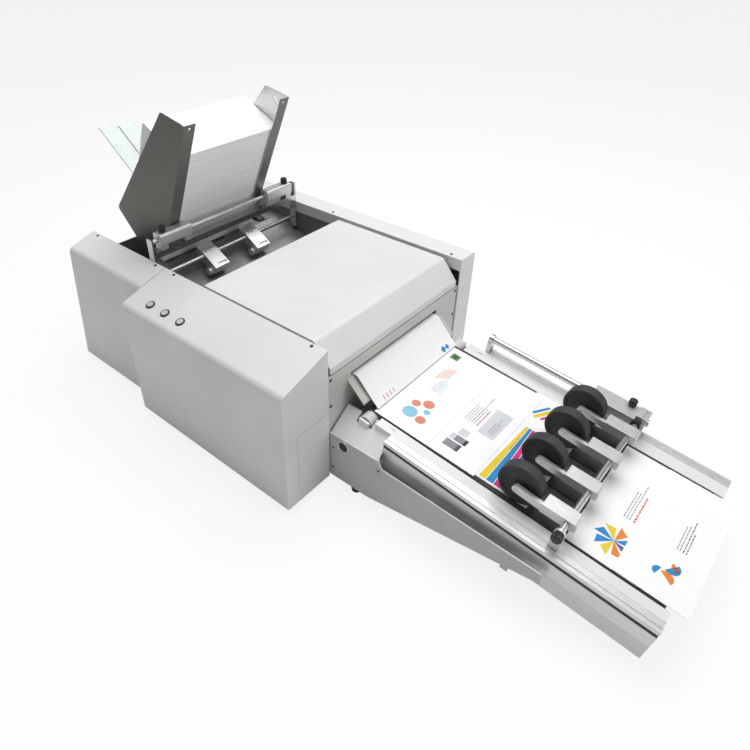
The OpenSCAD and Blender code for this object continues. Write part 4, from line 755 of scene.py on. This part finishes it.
# The print stays this far inside an envelope's edges, and its far end is this far from the near one
PRINT_MARGIN, PRINT_END = 1.5, 239.8
# Each sheet on the belts: its leading edge's s, shift in y and tilt in degrees, and its underside's w
SHEETS = {
    1: (154, -6, 0.6, SEAT),
    2: (242, -5, 0.6, SEAT),
    3: (330, 0, 0.6, SEAT),
    5: (499, -5, 0, SEAT),
    6: (569, -5, 0, 1.3),
}
# The envelope in the chute has the number 0. It lies between these points, in x and z
CHUTE_SHEET = 0
CHUTE_FOOT = np.array([51.98, 153.64])
CHUTE_TOP = np.array([37.0, 167.5])


def on_sheet(key, points):
    """Points (distance back from the leading edge, distance along the long side) of a sheet, in metres.
    They lie a little above the paper: 0.15 mm in the chute and 0.12 mm on the belts."""
    points = np.asarray(points, float)
    back, along = points[:, 0], points[:, 1]
    if key == CHUTE_SHEET:
        way = (CHUTE_TOP - CHUTE_FOOT) / np.linalg.norm(CHUTE_TOP - CHUTE_FOOT)
        above = -(ENV_T + 0.15) * np.array([-way[1], way[0]])
        side = CHUTE_FOOT + back[:, None] * way + above
        return machine(np.column_stack([side[:, 0], ENV_Y0 + along, side[:, 1]]))
    lead, shift, tilt, base = SHEETS[key]
    rise = (ENV_W - back) * math.sin(math.radians(tilt))
    return deck(np.column_stack([lead - back, ENV_Y0 + shift + along, base + ENV_T + rise + 0.12]))


def disc(a, b, radius, points=40):
    """A round shape about a point of a sheet."""
    t = 2 * np.pi * np.linspace(0, 1, points + 1)[:-1]
    return np.column_stack([a + radius * np.cos(t), b + radius * np.sin(t)])


def half_disc(a, b, radius, start, points=40):
    """Half of a round shape, from a start given as a part of a whole turn."""
    t = 2 * np.pi * (start + 0.5 * np.linspace(0, 1, points + 1))
    arc = np.column_stack([a + radius * np.cos(t), b + radius * np.sin(t)])
    return np.vstack([arc, [[a, b]]])


def block(a, b, length_a, length_b, turn=0.0):
    """A rectangle about a point of a sheet, turned by an angle in radians."""
    corners = np.array([[-length_a, -length_b], [length_a, -length_b], [length_a, length_b],
                        [-length_a, length_b]]) / 2
    cos, sin = math.cos(turn), math.sin(turn)
    return corners @ np.array([[cos, sin], [-sin, cos]]) + [a, b]


def words(rng, a, b, length, rows, high=1.3):
    """Rows of short bars in the place of text lines, along the long side."""
    row_pitch, space = 4.2, 1.6
    bars = []
    for row in range(rows):
        at, end = b, b + length * rng.uniform(0.6, 1.0)
        while at < end:
            wide = rng.uniform(2.5, 7.5)
            bars.append(block(a + row * row_pitch, at + wide / 2, high, wide))
            at += wide + space
    return bars


def prints(colours):
    """Generic geometric designs: discs, stripes, a pinwheel and bars in the place of text."""
    rng = np.random.default_rng(11)
    warm, cool = tuple(colours.first) + (1.0,), tuple(colours.second) + (1.0,)
    ink = {"warm": printed_ink("warm print", warm), "cool": printed_ink("cool print", cool)}
    for name, code in (("salmon", "#D98A70"), ("sky", "#8CC4DE"), ("grey", "#8B8D92"),
                       ("charcoal", "#3E3F44"), ("magenta", "#D42C7C"), ("yellow", "#EBCB2E"),
                       ("violet", "#6F5AA0"), ("red", "#D8573F"), ("green", "#5E8A54"),
                       ("pale grey", "#D3D5DA")):
        ink[name] = printed_ink(name + " print", linear(code))
    art = {colour: [] for colour in ink}

    def put(colour, key, *shapes):
        art[colour] += [(key, shape) for shape in shapes]

    # The envelope on its way down the chute: four short bars and two diamonds
    put("salmon", 0, *[block(9, 24 + 9 * k, 8, 2) for k in range(4)])
    put("cool", 0, block(9, 206, 10, 10, 0.78), block(9, 218, 8, 8, 0.78))
    # First sheet: discs, text, a framed square and a row of stepped bars
    put("sky", 1, disc(62, 42, 13), disc(40, 60, 6))
    put("salmon", 1, disc(38, 38, 9), disc(66, 66, 8), disc(48, 78, 10))
    put("sky", 1, *words(rng, 50, 112, 46, 2))
    put("grey", 1, *words(rng, 58, 112, 46, 3))
    put("green", 1, block(84, 218, 17, 17))
    put("charcoal", 1, block(84, 218, 9, 9))
    put("salmon", 1, *[block(62 + 4 * k, 172 - 3 * k, 1.6, 34) for k in range(5)])
    # Second sheet: stepped grey blocks and a headline over text
    put("grey", 2, block(60, 30, 26, 16), block(54, 48, 20, 14))
    put("charcoal", 2, block(48, 30, 6, 16), block(44, 48, 5, 14))
    put("pale grey", 2, block(68, 48, 9, 14), block(58, 66, 16, 16), block(30, 120, 30, 70))
    put("magenta", 2, *words(rng, 52, 96, 66, 1, high=2.2))
    put("charcoal", 2, *words(rng, 58, 96, 76, 2))
    put("grey", 2, *words(rng, 67, 96, 60, 3), *words(rng, 22, 94, 46, 3))
    # Third sheet: slanted stripes that grow towards the near end, three turned bars and text
    for k, colour in enumerate(("yellow", "cool", "magenta", "violet")):
        stripe = np.array([[84 - 13 * k, 4], [72 - 13 * k, 4], [74 - 6 * k, 150], [79 - 6 * k, 150]])
        put(colour, 3, stripe)
    put("yellow", 3, block(70, 200, 7, 44, 0.5))
    put("magenta", 3, block(62, 196, 5, 30, 0.5))
    put("cool", 3, block(78, 204, 5, 36, 0.5))
    put("charcoal", 3, *words(rng, 66, 86, 40, 3))
    # Fifth sheet: a pinwheel of triangles with a headline over text
    for k, colour in enumerate(("cool", "yellow", "warm", "cool", "violet", "warm", "yellow", "cool")):
        start, end = k * math.pi / 4, (k + 0.72) * math.pi / 4
        blade = np.array([[50, 46], [50 + 30 * math.cos(start), 46 + 30 * math.sin(start)],
                          [50 + 24 * math.cos(end), 46 + 24 * math.sin(end)]])
        put(colour, 5, blade)
    put("red", 5, *words(rng, 40, 98, 64, 1, high=2.4))
    put("grey", 5, *words(rng, 47, 98, 84, 3))
    # Last sheet: half discs and text
    put("warm", 6, half_disc(44, 40, 11, 0.1), half_disc(36, 66, 8, 0.6))
    put("cool", 6, half_disc(42, 62, 12, 0.35), half_disc(56, 44, 8, 0.8))
    put("charcoal", 6, *words(rng, 34, 98, 66, 2))
    put("grey", 6, *words(rng, 43, 98, 60, 2))

    for colour, shapes in art.items():
        verts, faces, count = [], [], 0
        for key, shape in shapes:
            kept = np.clip(shape, [PRINT_MARGIN, PRINT_MARGIN], [ENV_W - PRINT_MARGIN, PRINT_END])
            outline = on_sheet(key, kept)
            face = list(range(count, count + len(outline)))
            verts.append(outline)
            faces.append(face if faces_up(outline) else face[::-1])
            count += len(outline)
        mesh_piece("print_" + colour.replace(" ", "_"), np.concatenate(verts), faces, ink[colour],
                   "printer_body", smooth=False)


def faces_up(outline):
    """Whether a flat outline runs anticlockwise seen from above: its signed area on the desk is positive."""
    after = np.roll(outline, -1, 0)
    return float(np.sum(outline[:, 0] * after[:, 1] - outline[:, 1] * after[:, 0])) > 0


def stack(finish, layer):
    """The loaded stack: rings of a rectangle, three for each layer, drawn in a little for the gaps between.
    A ring lies at a height along the lean, and its corners are pulled in by that ring's inset."""
    lo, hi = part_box("envelope_stack")
    near, far = (lo.y - ORIGIN[1]) / MM, (hi.y - ORIGIN[1]) / MM
    foot = np.array([-501.25, 240.6])
    up = np.array([math.sin(STACK_LEAN), math.cos(STACK_LEAN)])
    fall = math.radians(24.18)
    back = np.array([-math.cos(fall), math.sin(fall)])
    high, gap, top_gap = 263.0, 0.9, 0.5
    count = int(high / layer)
    step = high / count
    shift = np.random.default_rng(7).uniform(0, 0.5, count)
    heights, insets = [0.0], [0.3]
    for k in range(count):
        heights += [k * step + 0.25 * step, k * step + 0.85 * step, (k + 1) * step]
        insets += [shift[k], shift[k], gap if k < count - 1 else top_gap]
    height, inset = np.array(heights), np.array(insets)
    corners = []
    for at_far, at_back in ((0, 0), (1, 0), (1, 1), (0, 1)):
        deep = ENV_W - inset if at_back else inset
        y = far - inset if at_far else near + inset
        side = foot[None] + height[:, None] * up + deep[:, None] * back
        corners.append(machine(np.stack([side[:, 0], y, side[:, 1]], -1)))
    verts = np.stack(corners, 1).reshape(-1, 3)
    faces = grid_faces(len(height), 4).tolist()
    last = len(verts)
    faces += [[3, 2, 1, 0], [last - 4, last - 3, last - 2, last - 1]]
    sealed(mesh_piece("envelope_stack_layers", verts, faces, finish["stack"], "printer_body", "paper",
                      ["envelope_stack"], smooth=False))


class PRINTER_OT_stage(bpy.types.Operator):
    """Floor, lights, background and camera"""
    bl_idname = "printer.stage"
    bl_label = "Stage"

    def execute(self, context):
        scene = context.scene
        scene.view_settings.view_transform = "Standard"
        self.floor(scene)
        self.background(scene)
        self.lamp(scene, "overhead_softbox", place=(-0.2, 0.5, 2.6), size=2.2, watts=66)
        self.lamp(scene, "end_softbox", place=(2.4, 0.9, 1.2), size=1.4, watts=12)
        self.camera(scene)
        return {"FINISHED"}

    def floor(self, scene):
        """A matt white paper sweep. Part of its light to the camera is its own, so it reads as white."""
        mesh = bpy.data.meshes.new("studio_floor")
        reach = 12
        corners = [[-reach, -reach, 0], [reach, -reach, 0], [reach, reach, 0], [-reach, reach, 0]]
        mesh.from_pydata(np.array(corners, float).tolist(), [], [[0, 1, 2, 3]])
        material, tree = new_material("white studio floor")
        if tree is not None:
            noise = add(tree, "ShaderNodeTexNoise", {"Scale": 3.0})
            tone = add(tree, "ShaderNodeMix", {"Factor": noise.outputs["Fac"], MIX_A: linear("#F4F4F4"),
                                               MIX_B: linear("#F8F8F8")}, data_type="RGBA")
            matt = add(tree, "ShaderNodeBsdfDiffuse", {"Color": tone.outputs[MIX_OUT]})
            glow = add(tree, "ShaderNodeEmission", {"Color": (1, 1, 1, 1), "Strength": 1.0})
            path = add(tree, "ShaderNodeLightPath")
            share = add(tree, "ShaderNodeMath", {0: path.outputs["Is Camera Ray"], 1: 0.85},
                        operation="MULTIPLY")
            mix = add(tree, "ShaderNodeMixShader", {0: share.outputs[0], 1: matt.outputs[0],
                                                    2: glow.outputs[0]})
            close(material, tree, mix)
        mesh.materials.append(material)
        floor = bpy.data.objects.new("studio_floor", mesh)
        scene.collection.objects.link(floor)

    def background(self, scene):
        """White for the camera and through the frosted ramp, and a soft fill light for everything else."""
        world = bpy.data.worlds.new("studio")
        scene.world = world
        world.use_nodes = True
        tree = world.node_tree
        tree.nodes.clear()
        path = add(tree, "ShaderNodeLightPath")
        seen = add(tree, "ShaderNodeMath", {0: path.outputs["Is Camera Ray"],
                                            1: path.outputs["Is Transmission Ray"]}, operation="MAXIMUM")
        soft = add(tree, "ShaderNodeBackground", {"Color": (1, 1, 1, 1), "Strength": 0.27})
        white = add(tree, "ShaderNodeBackground", {"Color": (1, 1, 1, 1), "Strength": 1.0})
        mix = add(tree, "ShaderNodeMixShader", {0: seen.outputs[0], 1: soft.outputs[0], 2: white.outputs[0]})
        add(tree, "ShaderNodeOutputWorld", {"Surface": mix.outputs[0]})

    def lamp(self, scene, name, place, size, watts):
        """A square softbox that looks at the middle of the machine."""
        data = bpy.data.lights.new(name, "AREA")
        data.shape = "SQUARE"
        data.size = size
        data.energy = watts
        ob = bpy.data.objects.new(name, data)
        scene.collection.objects.link(ob)
        ob.location = place
        ob.rotation_euler = (Vector((0, 0, 0.2)) - Vector(place)).to_track_quat("-Z", "Y").to_euler()

    def camera(self, scene):
        """The camera that was fitted to the machine's straight edges."""
        data = bpy.data.cameras.new("camera")
        data.lens = 30.02
        data.sensor_width = 36.0
        data.sensor_fit = "HORIZONTAL"
        data.shift_x, data.shift_y = 0.0453, -0.0363
        data.clip_start, data.clip_end = 0.05, 60
        ob = bpy.data.objects.new("camera", data)
        scene.collection.objects.link(ob)
        turn, down = math.radians(40.58), math.radians(35.86)
        ob.location = machine((515.3, -570.8, 846.8))
        look = Vector((-math.sin(turn) * math.cos(down), math.cos(turn) * math.cos(down), -math.sin(down)))
        ob.rotation_euler = look.to_track_quat("-Z", "Y").to_euler()
        scene.camera = ob


STEPS = (PRINTER_OT_covers, PRINTER_OT_chassis, PRINTER_OT_hopper, PRINTER_OT_conveyor, PRINTER_OT_wheels,
         PRINTER_OT_controls, PRINTER_OT_knobs, PRINTER_OT_screws, PRINTER_OT_envelopes, PRINTER_OT_stage)


class PRINTER_PT_panel(bpy.types.Panel):
    """Lists the printer's steps, sizes and colours"""
    bl_idname = "PRINTER_PT_panel"
    bl_label = "Envelope printer"
    bl_space_type = "VIEW_3D"
    bl_region_type = "UI"
    bl_category = "Printer"

    def draw(self, context):
        for group in (context.scene.printer_sizes, context.scene.printer_colours):
            for key in group.__annotations__:
                self.layout.prop(group, key)
        for step in STEPS:
            self.layout.operator(step.bl_idname)


CLASSES = (PrinterSizes, PrinterColours) + STEPS + (PRINTER_PT_panel,)


def register():
    for kind in CLASSES:
        bpy.utils.register_class(kind)
    bpy.types.Scene.printer_sizes = bpy.props.PointerProperty(type=PrinterSizes)
    bpy.types.Scene.printer_colours = bpy.props.PointerProperty(type=PrinterColours)


def unregister():
    del bpy.types.Scene.printer_sizes
    del bpy.types.Scene.printer_colours
    for kind in reversed(CLASSES):
        bpy.utils.unregister_class(kind)


def main():
    register()
    for step in STEPS:
        group, name = step.bl_idname.split(".")
        getattr(getattr(bpy.ops, group), name)()


if __name__ == "__main__":
    main()
